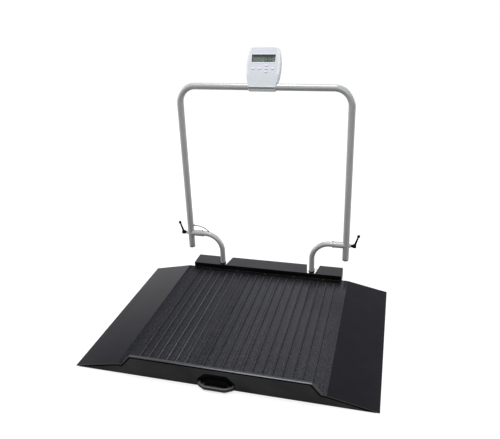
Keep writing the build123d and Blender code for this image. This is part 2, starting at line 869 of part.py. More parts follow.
# Post sockets: a bolted plate with a spigot that the post slips over
spigot_radius = post_diameter / 2 - post_wall - running_gap
socket_top = tray_floor + socket_plate
socket_mid_y = rear_y + socket_front_gap + socket_depth / 2
with BuildPart() as post_sockets:
    with BuildSketch(Plane.XY.offset(tray_floor)):
        for side, name in sides:
            with Locations((side * post_x, socket_mid_y)):
                Rectangle(socket_width, socket_depth)
                with GridLocations(socket_bolt_pitch_x, socket_bolt_pitch_y, 2, 2):
                    Circle(screw_diameter / 2 + running_gap, mode=Mode.SUBTRACT)
    extrude(amount=socket_plate)
    with BuildSketch(Plane.XY.offset(socket_top)):
        for side, name in sides:
            with Locations((side * post_x, post_plane_y)):
                Circle(spigot_radius)
    extrude(amount=spigot_height)
finish(post_sockets.part, "post_sockets")

# Socket bolts, four for each plate
with BuildPart() as socket_bolts:
    with BuildSketch(Plane.XY.offset(tray_floor)):
        for side, name in sides:
            with Locations((side * post_x, socket_mid_y)):
                with GridLocations(socket_bolt_pitch_x, socket_bolt_pitch_y, 2, 2):
                    Circle(screw_diameter / 2)
    extrude(amount=socket_plate)
    with BuildSketch(Plane.XY.offset(socket_top)):
        for side, name in sides:
            with Locations((side * post_x, socket_mid_y)):
                with GridLocations(socket_bolt_pitch_x, socket_bolt_pitch_y, 2, 2):
                    RegularPolygon(screw_head_diameter / 2, 6, major_radius=False)
    extrude(amount=socket_bolt_head)
finish(socket_bolts.part, "socket_bolts")

# Posts: bent tubes that rise from the tray and turn outwards into the handrail's sleeves
pin_x = sleeve_end + notch_depth - pin_diameter / 2 - seat_gap
cable_end = cable_route[-1]
cable_aim = (cable_end[0] - cable_route[-2][0], 0, cable_end[1] - cable_route[-2][1])
gland_mouth = Plane(origin=(cable_end[0], post_plane_y, cable_end[1]), z_dir=cable_aim)
lead_start = lead_route[0]
lead_mouth = Plane(origin=(lead_start[0], post_plane_y, lead_start[1]), z_dir=(-1, 0, 0))
lead_end = lead_route[-1]
lead_foot = Plane(origin=(lead_end[0], post_plane_y, lead_end[1]), z_dir=(0, 0, -1))
lead_grommet_length = lead_start[0] - post_x - post_diameter / 2 + post_wall
cover_grommet_length = lead_end[1] - cover_top + cover_sheet
post_holes = {
    -1: (gland_mouth, cable_grommet_diameter, gland_length),
    1: (lead_mouth, lead_grommet_diameter, lead_grommet_length + post_wall),
}
for side, name in sides:
    hole_plane, hole_diameter, hole_length = post_holes[side]
    with BuildPart() as post:
        with BuildLine(upright(post_plane_y)) as route:
            FilletPolyline(
                (side * post_x, socket_top),
                (side * post_x, pivot_z),
                (side * post_end, pivot_z),
                radius=post_bend,
            )
        with BuildSketch(Plane.XY.offset(socket_top)):
            with Locations((side * post_x, post_plane_y)):
                Circle(post_diameter / 2)
                Circle(post_diameter / 2 - post_wall, mode=Mode.SUBTRACT)
        sweep(path=route.line)
        with BuildSketch(Plane.XY.offset(pivot_z - post_diameter)):
            with Locations((side * pin_x, post_plane_y)):
                Circle(pin_diameter / 2)
        extrude(amount=2 * post_diameter, mode=Mode.SUBTRACT)
        with BuildSketch(hole_plane):
            Circle(hole_diameter / 2)
        extrude(amount=hole_length, mode=Mode.SUBTRACT)
    finish(post.part, f"{name}_post")

# Stop pins across the ends of the posts
with BuildPart() as stop_pins:
    pin_half = rail_diameter / 2 + pin_out
    with BuildSketch(Plane.XY.offset(pivot_z - pin_half)):
        for side, name in sides:
            with Locations((side * pin_x, post_plane_y)):
                Circle(pin_diameter / 2)
    extrude(amount=2 * pin_half)
finish(stop_pins.part, "stop_pins")

# Collars where the posts come up behind the cover's front face
collar_top = cover_top + collar_above_cover
with BuildPart() as post_collars:
    with BuildSketch(Plane.XY.offset(collar_top - collar_height)):
        for side, name in sides:
            with Locations((side * post_x, post_plane_y)):
                Circle(post_diameter / 2 + collar_wall)
                Circle(post_diameter / 2, mode=Mode.SUBTRACT)
    extrude(amount=collar_height)
finish(post_collars.part, "post_collars")

# Clamp nuts: threaded plugs inside the ends of the posts
with BuildPart() as clamp_nuts:
    for side, name in sides:
        start = min(side * post_end, side * (post_end - clamp_nut_length))
        with BuildSketch(across(start)):
            with Locations((post_plane_y, pivot_z)):
                Circle(post_diameter / 2 - post_wall)
                Circle(clamp_stud_diameter / 2 + running_gap, mode=Mode.SUBTRACT)
        extrude(amount=clamp_nut_length)
finish(clamp_nuts.part, "clamp_nuts")

# Handrail: one tube bent into a tall arch that stands beside both ramps
exit_x, exit_z = cable_route[0]
with BuildPart() as handrail:
    with BuildLine(upright(post_plane_y)) as arch:
        FilletPolyline(
            (-rail_half, rail_foot_z),
            (-rail_half, rail_height),
            (rail_half, rail_height),
            (rail_half, rail_foot_z),
            radius=rail_bend,
        )
    with BuildSketch(Plane.XY.offset(rail_foot_z)):
        with Locations((-rail_half, post_plane_y)):
            Circle(rail_diameter / 2)
            Circle(rail_diameter / 2 - rail_wall, mode=Mode.SUBTRACT)
    sweep(path=arch.line)
    for side, name in sides:
        with BuildSketch(across(side * rail_half - rail_diameter)):
            with Locations((post_plane_y, pivot_z)):
                Circle(clamp_stud_diameter / 2 + running_gap)
        extrude(amount=2 * rail_diameter, mode=Mode.SUBTRACT)
    with BuildSketch(across(-rail_half)):
        with Locations((post_plane_y, exit_z)):
            Circle(cable_grommet_diameter / 2)
    extrude(amount=rail_diameter, mode=Mode.SUBTRACT)
finish(handrail.part, "handrail")

# Pivot sleeves: short tubes welded to the legs, with a quarter-turn notch for the stop pin
notch_swing = 90.0
pin_half_angle = math.degrees(math.asin(pin_diameter / (2 * post_diameter / 2))) + stop_slack
fan_reach = rail_diameter


def fan(start, stop):
    """Corner points of a fan between two angles, seen along X, from the pivot axis outwards."""
    steps = 4
    turns = [math.radians(start + (stop - start) * step / steps) for step in range(steps + 1)]
    rim = [(post_plane_y + fan_reach * math.cos(t), pivot_z + fan_reach * math.sin(t)) for t in turns]
    return [(post_plane_y, pivot_z), *rim]


with BuildPart() as pivot_sleeves:
    for side, name in sides:
        start = min(side * sleeve_end, side * rail_half)
        with BuildSketch(across(start)):
            with Locations((post_plane_y, pivot_z)):
                Circle(rail_diameter / 2)
                Circle(post_diameter / 2 + running_gap, mode=Mode.SUBTRACT)
        extrude(amount=rail_half - sleeve_end)
        notch_start = min(side * sleeve_end, side * (sleeve_end + notch_depth))
        with BuildSketch(across(notch_start)):
            for opening in (0.0, 180.0):
                low = opening - pin_half_angle
                high = opening + notch_swing + pin_half_angle
                Polygon(*fan(low, high), align=None)
        extrude(amount=notch_depth, mode=Mode.SUBTRACT)
    with BuildSketch(Plane.XY.offset(pivot_z - rail_diameter)):
        for side, name in sides:
            with Locations((side * rail_half, post_plane_y)):
                Circle(rail_diameter / 2)
    extrude(amount=2 * rail_diameter, mode=Mode.SUBTRACT)
finish(pivot_sleeves.part, "pivot_sleeves")

# Leg plugs: moulded caps pushed into the open feet of the handrail
with BuildPart() as leg_plugs:
    for side, name in sides:
        with BuildSketch(Plane.XY.offset(rail_foot_z)):
            with Locations((side * rail_half, post_plane_y)):
                Circle(rail_diameter / 2)
        extrude(amount=-plug_height)
    fillet(leg_plugs.edges().group_by(Axis.Z)[0], plug_height * 3 / 4)
    for side, name in sides:
        with BuildSketch(Plane.XY.offset(rail_foot_z)):
            with Locations((side * rail_half, post_plane_y)):
                Circle(rail_diameter / 2 - rail_wall)
        extrude(amount=plug_depth)
finish(leg_plugs.part, "leg_plugs")

# Thrust washers between the legs and the clamp levers
with BuildPart() as thrust_washers:
    for side, name in sides:
        start = min(side * rail_half, side * (leg_outer + washer_length))
        with BuildSketch(across(start)):
            with Locations((post_plane_y, pivot_z)):
                Circle(washer_diameter / 2)
                Circle(clamp_stud_diameter / 2 + running_gap, mode=Mode.SUBTRACT)
        extrude(amount=leg_outer + washer_length - rail_half)
    with BuildSketch(Plane.XY.offset(pivot_z - rail_diameter)):
        for side, name in sides:
            with Locations((side * rail_half, post_plane_y)):
                Circle(rail_diameter / 2)
    extrude(amount=2 * rail_diameter, mode=Mode.SUBTRACT)
finish(thrust_washers.part, "thrust_washers")

# Clamp studs: a splined head inside the lever, a thread that reaches into the post
hub_start = leg_outer + washer_length + seat_gap
stud_inner = post_end - clamp_stud_grip
spline_start = hub_start + neck_length + hub_length - spline_length - 2 * hub_edge
for side, name in sides:
    with BuildPart() as clamp_stud:
        start = min(side * stud_inner, side * spline_start)
        with BuildSketch(across(start)):
            with Locations((post_plane_y, pivot_z)):
                Circle(clamp_stud_diameter / 2)
        extrude(amount=spline_start - stud_inner)
        start = min(side * spline_start, side * (spline_start + spline_length))
        with BuildSketch(across(start)):
            with Locations((post_plane_y, pivot_z)):
                Circle(spline_diameter / 2)
        extrude(amount=spline_length)
    finish(clamp_stud.part, f"{name}_clamp_stud")

# Clamp levers: a hub with a neck, and an arm that leans outwards and ends in a ball
hub_end = hub_start + neck_length + hub_length
hub_middle = hub_end - hub_length / 2
arm_length = math.hypot(lever_rise, lever_lean)
for side, name in sides:
    arm_foot = Plane(
        origin=(side * hub_middle, post_plane_y, pivot_z),
        z_dir=(side * lever_lean, 0, lever_rise),
    )
    with BuildPart() as lever:
        start = min(side * hub_start, side * hub_end)
        with BuildSketch(across(start)):
            with Locations((post_plane_y, pivot_z)):
                Circle(neck_diameter / 2)
        extrude(amount=hub_end - hub_start)
        start = min(side * (hub_end - hub_length), side * hub_end)
        with BuildSketch(across(start)):
            with Locations((post_plane_y, pivot_z)):
                Circle(hub_diameter / 2)
        extrude(amount=hub_length)
        fillet(lever.edges().filter_by(GeomType.CIRCLE).filter_by(
            lambda e: e.radius > neck_diameter / 2 + running_gap), hub_edge)
        with BuildSketch(arm_foot):
            Circle(arm_diameter / 2)
        with BuildSketch(arm_foot.offset(arm_length)):
            Circle(arm_tip_diameter / 2)
        loft()
        with Locations(arm_foot.offset(arm_length).origin):
            Sphere(ball_diameter / 2)
        bore_end = spline_start + spline_length + running_gap
        start = min(side * hub_start, side * bore_end)
        with BuildSketch(across(start)):
            with Locations((post_plane_y, pivot_z)):
                Circle(spline_diameter / 2 + running_gap)
        extrude(amount=bore_end - hub_start, mode=Mode.SUBTRACT)
    finish(lever.part, f"{name}_lever")

# Display housing. Its own frame lies on the rail's top tube: u is X, v runs up the tilted face
# and n points out of that face towards the user.
tilt = math.radians(display_tilt)
face_up = (0, math.sin(tilt), math.cos(tilt))
face_out = (0, -math.cos(tilt), math.sin(tilt))
rail_axis = (0, post_plane_y, rail_height)
face = Plane(origin=rail_axis, x_dir=(1, 0, 0), z_dir=face_out)
section = Plane(origin=rail_axis, x_dir=face_up, z_dir=(1, 0, 0))
saddle_radius = rail_diameter / 2 + running_gap
screw_spots = (
    (-screw_low_half, screw_low),
    (screw_low_half, screw_low),
    (-screw_high_half, screw_high),
    (screw_high_half, screw_high),
)
button_spots = {
    "unit": (-1.5 * button_pitch, button_row),
    "hold": (-0.5 * button_pitch, button_row),
    "up": (0.5 * button_pitch, button_row + button_step),
    "enter": (0.5 * button_pitch, button_row),
    "down": (0.5 * button_pitch, button_row - button_step),
    "zero": (1.5 * button_pitch, button_row),
}



def chord_radius(rise, half_chord):
    """Radius of the arc that rises by this much over this half chord."""
    return (rise**2 + half_chord**2) / (2 * rise)


# The outline is where three large circles meet over the straight foot, with rounded corners
side_radius = chord_radius(display_wide_half - display_base_half, display_wide - display_base)
crown_radius = chord_radius(display_crown - display_corner, display_corner_half)
outlines = []
for inset in (0, display_wall):
    with BuildSketch() as outline:
        with Locations((0, display_crown - crown_radius)):
            Circle(crown_radius - inset)
        for side, name in sides:
            with Locations((side * (display_wide_half - side_radius), display_wide)):
                Circle(side_radius - inset, mode=Mode.INTERSECT)
        with Locations((0, display_base + inset)):
            Rectangle(
                2 * display_wide_half,
                2 * display_crown,
                align=(Align.CENTER, Align.MIN),
                mode=Mode.INTERSECT,
            )
        fillet(outline.vertices().group_by(Axis.Y)[-1], display_corner_radius - inset)
        fillet(outline.vertices().group_by(Axis.Y)[0], display_foot_radius - inset)
    outlines.append(outline.sketch)
housing, housing_inside = outlines

inner_front = display_front - display_wall
inner_rear = display_rear - display_wall
with BuildPart() as front_cavity:
    with BuildSketch(face):
        add(housing_inside)
    extrude(amount=inner_front)
    with BuildSketch(section.offset(-display_wide_half)):
        Circle(saddle_radius + saddle_wall)
    extrude(amount=2 * display_wide_half, mode=Mode.SUBTRACT)
    with BuildSketch(face):
        Rectangle(2 * display_wide_half, 2 * (saddle_radius + saddle_wall))
    extrude(amount=display_front, mode=Mode.SUBTRACT)
    with BuildSketch(section.offset(-display_wide_half)):
        Polygon(
            (crease, inner_front),
            (display_base - overrun, inner_front - crease_drop),
            (display_base - overrun, display_front),
            (crease, display_front),
            align=None,
        )
    extrude(amount=2 * display_wide_half, mode=Mode.SUBTRACT)

with BuildPart() as display_front_shell:
    with BuildSketch(face):
        add(housing)
    extrude(amount=display_front)
    front_rim = display_front_shell.faces().sort_by(Axis(rail_axis, face_out))[-1].edges()
    fillet(front_rim, display_front_edge)
    with BuildSketch(section.offset(-display_wide_half - overrun)):
        Polygon(
            (crease, display_front),
            (display_base - overrun, display_front - crease_drop),
            (display_base - overrun, display_front + overrun),
            (crease, display_front + overrun),
            align=None,
        )
    extrude(amount=2 * (display_wide_half + overrun), mode=Mode.SUBTRACT)
    add(front_cavity.part, mode=Mode.SUBTRACT)
    with BuildSketch(section.offset(-display_wide_half - overrun)):
        Circle(saddle_radius)
    extrude(amount=2 * (display_wide_half + overrun), mode=Mode.SUBTRACT)
    with BuildSketch(face.offset(board_level + board_sheet)):
        with Locations(*screw_spots):
            Circle(case_boss_diameter / 2)
    extrude(amount=inner_front - board_level - board_sheet)
    with BuildSketch(face.offset(board_level + board_sheet)):
        with Locations(*screw_spots):
            Circle(case_screw_diameter / 2 + running_gap)
    extrude(amount=inner_front - board_level - board_sheet - display_wall, mode=Mode.SUBTRACT)
    with BuildSketch(face.offset(inner_front - overrun)):
        with Locations((0, window_middle)):
            Rectangle(window_width, window_height)
        for spot in button_spots.values():
            with Locations(spot):
                SlotOverall(button_length + 2 * button_gap, button_width + 2 * button_gap)
    extrude(amount=display_wall + 2 * overrun, mode=Mode.SUBTRACT)
finish(display_front_shell.part, "display_front_shell")

with BuildPart() as rear_cavity:
    with BuildSketch(face):
        add(housing_inside)
    extrude(amount=-inner_rear)
    with BuildSketch(section.offset(-display_wide_half)):
        Circle(saddle_radius + saddle_wall)
    extrude(amount=2 * display_wide_half, mode=Mode.SUBTRACT)
    with BuildSketch(face):
        Rectangle(2 * display_wide_half, 2 * (saddle_radius + saddle_wall))
    extrude(amount=-display_rear, mode=Mode.SUBTRACT)

with BuildPart() as display_rear_shell:
    with BuildSketch(face):
        add(housing)
    extrude(amount=-display_rear)
    rear_rim = display_rear_shell.faces().sort_by(Axis(rail_axis, face_out))[0].edges()
    fillet(rear_rim, display_rear_edge)
    add(rear_cavity.part, mode=Mode.SUBTRACT)
    with BuildSketch(section.offset(-display_wide_half - overrun)):
        Circle(saddle_radius)
    extrude(amount=2 * (display_wide_half + overrun), mode=Mode.SUBTRACT)
    with BuildSketch(face.offset(-inner_rear)):
        with Locations(*screw_spots):
            Circle(case_boss_diameter / 2)
    extrude(amount=inner_rear + board_level)
    with BuildSketch(face.offset(-display_rear - overrun)):
        with Locations(*screw_spots):
            Circle(case_screw_diameter / 2 + running_gap)
    extrude(amount=display_rear + board_level + 2 * overrun, mode=Mode.SUBTRACT)
    with BuildSketch(face.offset(-display_rear - overrun)):
        with Locations(*screw_spots):
            Circle(case_screw_head / 2 + running_gap)
    extrude(amount=overrun + case_screw_sink, mode=Mode.SUBTRACT)
finish(display_rear_shell.part, "display_rear_shell")

# Screws that go in from the back, through the board, into the front shell
with BuildPart() as display_screws:
    with BuildSketch(face.offset(-display_rear + case_screw_sink)):
        with Locations(*screw_spots):
            Circle(case_screw_diameter / 2)
    extrude(amount=display_rear - case_screw_sink + inner_front - 2 * display_wall)
    with BuildSketch(face.offset(-display_rear + case_screw_sink)):
        with Locations(*screw_spots):
            Circle(case_screw_head / 2)
    extrude(amount=-case_screw_sink / 2)
finish(display_screws.part, "display_screws")

# Circuit board with a raised switch under each button
with BuildPart() as display_board:
    with BuildSketch(face.offset(board_level)):
        with Locations((0, (board_bottom + board_top) / 2)):
            Rectangle(2 * board_half, board_top - board_bottom)
        with Locations(*screw_spots):
            Circle(case_screw_diameter / 2 + running_gap, mode=Mode.SUBTRACT)
    extrude(amount=board_sheet)
    with BuildSketch(face.offset(board_level + board_sheet)):
        with Locations(*button_spots.values()):
            Circle(button_width / 2)
    extrude(amount=switch_height)
finish(display_board.part, "display_board")

# Liquid crystal module and the clear window in front of it
lens_back = display_front - lens_sink - lens_sheet
with BuildPart() as lcd_panel:
    with BuildSketch(face.offset(board_level + board_sheet)):
        with Locations((0, window_middle)):
            Rectangle(window_width + 2 * lcd_margin, window_height + 2 * lcd_margin)
    extrude(amount=lens_back - board_level - board_sheet)
finish(lcd_panel.part, "lcd_panel")

with BuildPart() as display_lens:
    with BuildSketch(face.offset(lens_back)):
        with Locations((0, window_middle)):
            Rectangle(window_width, window_height)
    extrude(amount=lens_sheet)
finish(display_lens.part, "display_lens")

# Buttons: caps with a flange behind the front wall, each over its switch
flange_top = inner_front - button_gap
stem_foot = board_level + board_sheet + switch_height + button_travel + seat_gap
for name, spot in button_spots.items():
    with BuildPart() as button:
        with BuildSketch(face.offset(stem_foot)):
            with Locations(spot):
                SlotOverall(button_length, button_width)
        extrude(amount=display_front + button_proud - stem_foot)
        cap_face = button.faces().sort_by(Axis(rail_axis, face_out))[-1]
        fillet(cap_face.edges(), button_proud / 2)
        with BuildSketch(face.offset(flange_top)):
            with Locations(spot):
                SlotOverall(button_length + 2 * button_flange, button_width + 2 * button_flange)
        extrude(amount=-button_flange_sheet)
    finish(button.part, f"button_{name}")

# Display bracket: a half trough that closes the housing under the rail
with BuildPart() as display_bracket:
    with BuildSketch(section.offset(-display_base_half)):
        Circle(saddle_radius + bracket_wall)
        Circle(saddle_radius, mode=Mode.SUBTRACT)
        with Locations((display_base, 0)):
            Rectangle(
                rail_diameter * 2,
                rail_diameter * 2,
                align=(Align.MIN, Align.CENTER),
                mode=Mode.SUBTRACT,
            )
    extrude(amount=2 * display_base_half)
finish(display_bracket.part, "display_bracket")

# Grommet where the signal cable leaves the left leg
with BuildPart() as leg_grommet:
    with BuildSketch(across(-leg_inner - rail_wall)):
        with Locations((post_plane_y, exit_z)):
            Circle(cable_grommet_diameter / 2)
    extrude(amount=exit_x + leg_inner + rail_wall)
finish(leg_grommet.part, "leg_grommet")

# Grommets that stay with the platform: the signal cable's on the left post, and the thin
# lead's two on the right post and in the top of the rear cover
with BuildPart() as grommets:
    for mouth, diameter, length in (
        (gland_mouth, cable_grommet_diameter, gland_length),
        (lead_mouth, lead_grommet_diameter, lead_grommet_length),
        (lead_foot, lead_grommet_diameter, cover_grommet_length),
    ):
        with BuildSketch(mouth):
            Circle(diameter / 2)
        extrude(amount=length)
finish(grommets.part, "grommets")


def turn_radii(points):
    """Radius of each turn: as wide as the shorter neighbouring run allows, by bend_share."""
    found = []
    for before, here, after in zip(points, points[1:], points[2:]):
        run_in = (here[0] - before[0], here[1] - before[1])
        run_out = (after[0] - here[0], after[1] - here[1])
        length_in = math.hypot(*run_in)
        length_out = math.hypot(*run_out)
        cosine = (run_in[0] * run_out[0] + run_in[1] * run_out[1]) / (length_in * length_out)
        turn = math.acos(cosine)
        found.append(bend_share * min(length_in, length_out) / math.tan(turn / 2))
    return found


# The two cords that show, each swept along its own route in the plane of the handrail
for label, points, diameter in (
    ("signal_cable", cable_route, cable_diameter),
    ("right_lead", lead_route, lead_diameter),
):
    radii = turn_radii(points)
    aim = (points[1][0] - points[0][0], 0, points[1][1] - points[0][1])
    with BuildPart() as cord:
        with BuildLine(upright(post_plane_y)) as cord_line:
            FilletPolyline(*points, radius=radii)
        with BuildSketch(Plane(origin=(points[0][0], post_plane_y, points[0][1]), z_dir=aim)):
            Circle(diameter / 2)
        sweep(path=cord_line.line)
    cord_length = cord_line.wires()[0].length
    expected = math.pi * diameter**2 / 4 * cord_length
    print(label, "turn radii", [round(r, 1) for r in radii], "in diameters",
          [round(r / diameter, 1) for r in radii])
    print(label, "length", round(cord_length, 1), "volume", round(cord.part.volume, 1),
          "section times length", round(expected, 1))
    finish(cord.part, label)
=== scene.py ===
import math
from functools import partialmethod

import bmesh
import bpy
import numpy as np
from mathutils import Matrix, Vector


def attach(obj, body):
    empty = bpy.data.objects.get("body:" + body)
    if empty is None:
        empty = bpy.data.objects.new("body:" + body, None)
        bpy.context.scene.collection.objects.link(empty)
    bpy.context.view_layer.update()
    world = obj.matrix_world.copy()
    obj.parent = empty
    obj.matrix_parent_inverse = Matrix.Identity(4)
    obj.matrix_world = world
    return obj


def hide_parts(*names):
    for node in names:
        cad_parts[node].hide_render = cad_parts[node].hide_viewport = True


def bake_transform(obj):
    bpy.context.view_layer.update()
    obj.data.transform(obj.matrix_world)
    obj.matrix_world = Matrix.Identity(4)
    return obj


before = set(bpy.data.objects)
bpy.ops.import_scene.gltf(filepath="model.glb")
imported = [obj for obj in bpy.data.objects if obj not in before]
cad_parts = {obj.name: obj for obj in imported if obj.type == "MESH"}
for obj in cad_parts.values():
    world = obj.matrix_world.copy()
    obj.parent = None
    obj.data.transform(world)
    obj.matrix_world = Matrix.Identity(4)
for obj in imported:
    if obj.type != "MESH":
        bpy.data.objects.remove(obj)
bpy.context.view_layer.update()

scene = bpy.context.scene
scene.view_settings.view_transform = "Standard"


# Camera. It stands in front of the scale, right of its middle and above the handrail, and looks
# down across the deck with a slight roll.
camera_place = Vector((0.55185, -1.89424, 1.35982))
camera_pitch = 0.4172
camera_turn = -0.27048
camera_roll = -0.03572
camera = bpy.data.objects.new("camera", bpy.data.cameras.new("camera"))
camera.data.lens = 38.615
camera.data.sensor_width = 36.0
camera.data.clip_end = 100.0
camera.matrix_world = (
    Matrix.Translation(camera_place) @ Matrix.Rotation(-camera_turn, 4, "Z")
    @ Matrix.Rotation(0.5 * math.pi - camera_pitch, 4, "X") @ Matrix.Rotation(camera_roll, 4, "Z"))
scene.collection.objects.link(camera)
scene.camera = camera


# Studio. A pale floor, a white surround and four soft lamps: one on each side, which edge the tubes
# with light, one overhead and one in front. The floor and the surround show as white, and the floor
# keeps the shadow. The floor has no glow of its own under the scale and in the handle's ring.
world_strength = 0.30
world_shown = 1.0
floor_colour = (0.42, 0.42, 0.42, 1.0)
floor_near, floor_far = 0.9, 3.2
floor_shown_near, floor_shown_far = 0.72, 0.90
floor_shown_mirrored = 0.15
floor_half = 12.0
floor_shaded = (
    (0.57, -0.437, 0.34), (0.058, -0.444, -0.43), (0.050, -0.449, -0.43), (0.042, -0.4535, -0.43))
lamp_aim = Vector((0.0, 0.0, 0.3))
lamps = (
    ("lamp_on_the_left", (-3.2, 0.5, 1.5), 2.0, 40.0),
    ("lamp_on_the_right", (2.7, 2.0, 1.5), 2.0, 36.0),
    ("lamp_overhead", (-0.3, 0.0, 3.6), 1.4, 74.0),
    ("lamp_in_front", (1.2, -3.2, 2.2), 1.8, 22.0),
)


def fed(tree, socket, value):
    """Gives a socket a number of the tree, another socket's value or a plain value."""
    if isinstance(value, Number):
        value = value.socket
    if isinstance(value, bpy.types.NodeSocket):
        tree.links.new(value, socket)
    else:
        socket.default_value = value


def node(tree, kind, inputs=None, **settings):
    """A new node of this kind, with its settings set and its inputs fed."""
    new = tree.nodes.new(kind)
    for setting, value in settings.items():
        setattr(new, setting, value)
    for label, value in (inputs or {}).items():
        fed(tree, new.inputs[label], value)
    return new


class Number:
    """A number in a node tree. A sum with another one, or with a plain number, is a Math node."""

    def __init__(self, tree, socket):
        self.tree, self.socket = tree, socket

    def worked(self, kind, other=0.0):
        sums = node(self.tree, "ShaderNodeMath", {0: self, 1: other}, operation=kind)
        return Number(self.tree, sums.outputs[0])

    __add__ = partialmethod(worked, "ADD")
    __sub__ = partialmethod(worked, "SUBTRACT")
    __mul__ = partialmethod(worked, "MULTIPLY")
    __lt__ = partialmethod(worked, "LESS_THAN")
    __gt__ = partialmethod(worked, "GREATER_THAN")
    __abs__ = partialmethod(worked, "ABSOLUTE")
    fraction = partialmethod(worked, "FRACT")
    larger = partialmethod(worked, "MAXIMUM")

    def __rsub__(self, other):
        return self * -1.0 + other

    def rise(self, low, high, start=0.0, end=1.0):
        """Goes from start to end while this number goes from low to high."""
        inputs = {"Value": self, "From Min": low, "From Max": high, "To Min": start, "To Max": end}
        return Number(self.tree, node(self.tree, "ShaderNodeMapRange", inputs).outputs["Result"])

    def strip(self, first, last, soft=0.0004):
        """A mask that is 1 while this number lies between two others."""
        return self.rise(first - soft, first + soft) * self.rise(last + soft, last - soft)

    def into(self, socket):
        self.tree.links.new(self.socket, socket)


def place_of(tree):
    """Where a point lies, in the object's own coordinates, which are the frame's."""
    return node(tree, "ShaderNodeTexCoord").outputs["Object"]


def parts_of(tree, vector=None):
    """X, Y and Z of a vector, or else of the point's place."""
    split = node(tree, "ShaderNodeSeparateXYZ", {0: vector or place_of(tree)})
    return [Number(tree, socket) for socket in split.outputs]


world = bpy.data.worlds.new("surround")
world.use_nodes = True
scene.world = world
surround = world.node_tree
path = node(surround, "ShaderNodeLightPath").outputs
seen = Number(surround, path["Is Camera Ray"]).larger(path["Is Glossy Ray"])
seen = seen.larger(path["Is Transmission Ray"])
background = surround.nodes["Background"].inputs
(seen * (world_shown - world_strength) + world_strength).into(background["Strength"])
background["Color"].default_value = (1.0, 1.0, 1.0, 1.0)

floor_mesh = bpy.data.meshes.new("floor")
floor_corners = [(x * floor_half, y * floor_half, 0.0) for x, y in ((-1, -1), (1, -1), (1, 1), (-1, 1))]
floor_mesh.from_pydata(floor_corners, [], [(0, 1, 2, 3)])
floor = bpy.data.objects.new("floor", floor_mesh)
scene.collection.objects.link(floor)
floor_paint = bpy.data.materials.new("pale_floor")
floor_paint.use_nodes = True
tree = floor_paint.node_tree
tree.nodes.remove(tree.nodes["Principled BSDF"])
path = node(tree, "ShaderNodeLightPath").outputs
mirrored = Number(tree, path["Is Glossy Ray"]).larger(path["Is Transmission Ray"])
away = node(tree, "ShaderNodeVectorMath", {0: place_of(tree)}, operation="LENGTH").outputs["Value"]
shown = Number(tree, away).rise(floor_near, floor_far, floor_shown_near, floor_shown_far)
shown = shown * path["Is Camera Ray"]
floor_x, floor_y, _ = parts_of(tree)
for half_x, low_y, high_y in floor_shaded:
    shown = shown * (1.0 - (abs(floor_x) < half_x) * (floor_y > low_y) * (floor_y < high_y))
matt = node(tree, "ShaderNodeBsdfDiffuse", {"Color": floor_colour})
glow = node(tree, "ShaderNodeEmission", {"Strength": shown + mirrored * floor_shown_mirrored})
both = node(tree, "ShaderNodeAddShader", {0: matt.outputs[0], 1: glow.outputs[0]})
tree.links.new(both.outputs[0], tree.nodes["Material Output"].inputs["Surface"])
floor_mesh.materials.append(floor_paint)

for name, place, size, power in lamps:
    lamp = bpy.data.objects.new(name, bpy.data.lights.new(name, "AREA"))
    lamp.data.shape = "SQUARE"
    lamp.data.size = size
    lamp.data.energy = power
    lamp.location = place
    lamp.rotation_euler = (lamp_aim - Vector(place)).to_track_quat("-Z", "Y").to_euler()
    scene.collection.objects.link(lamp)


# Signal cable. A dark grey sheathed cable that leaves the left leg of the handrail through a grommet,
# sags a little and goes down into a gland on the bend of the left post.
rail_y = 0.3709
cable_points = (
    (-0.3630, rail_y, 0.2635),
    (-0.3430, rail_y, 0.2635),
    (-0.3165, rail_y, 0.2555),
    (-0.2998, rail_y, 0.2458),
    (-0.2932, rail_y, 0.2371),
)
cable_diameter = 0.0042
TOWARDS_BACK = np.array((0.0, 1.0, 0.0))


def effect(name, inputs, output="Mask", *more):
    """Starts a shader node group: its tree, its input numbers and its output sockets."""
    tree = bpy.data.node_groups.new(name, "ShaderNodeTree")
    for label, value in inputs.items():
        socket = tree.interface.new_socket(label, in_out="INPUT", socket_type="NodeSocketFloat")
        socket.default_value = value
    for label in (output, *more):
        tree.interface.new_socket(label, in_out="OUTPUT", socket_type="NodeSocketFloat")
    given = tree.nodes.new("NodeGroupInput").outputs
    numbers = [Number(tree, given[index]) for index in range(len(inputs))]
    return tree, numbers, tree.nodes.new("NodeGroupOutput").inputs


def noise(tree, place, scale, detail=2.0, roughness=0.5):
    """A number that wanders about one half over the place."""
    inputs = {"Vector": place, "Scale": scale, "Detail": detail, "Roughness": roughness}
    return Number(tree, node(tree, "ShaderNodeTexNoise", inputs).outputs["Fac"])


def facing_up(tree):
    """The height of the surface's own direction: 1 where it faces up and 0 where it stands."""
    return parts_of(tree, node(tree, "ShaderNodeNewGeometry").outputs["Normal"])[2]


# Surface texture: a fine noise that can be drawn out along each axis, and scattered flecks
texture, (*grains, fleck_start), made = effect(
    "coat_texture", {"Across X": 900.0, "Along Y": 900.0, "Up Z": 900.0, "Fleck Start": 0.56},
    "Height", "Fleck")
spacing = node(texture, "ShaderNodeCombineXYZ", dict(enumerate(grains))).outputs[0]
drawn = node(
    texture, "ShaderNodeVectorMath", {0: place_of(texture), 1: spacing}, operation="MULTIPLY").outputs[0]
noise(texture, drawn, 1.0, 3.0, 0.6).into(made["Height"])
(noise(texture, drawn, 0.55, 1.0) - fleck_start).rise(0.0, 0.18).into(made["Fleck"])

# Clouds: slow changes of tone over a surface
clouds, (size,), made = effect("slow_clouds", {"Size": 8.0})
noise(clouds, place_of(clouds), size, 4.0).rise(0.32, 0.68).into(made["Mask"])

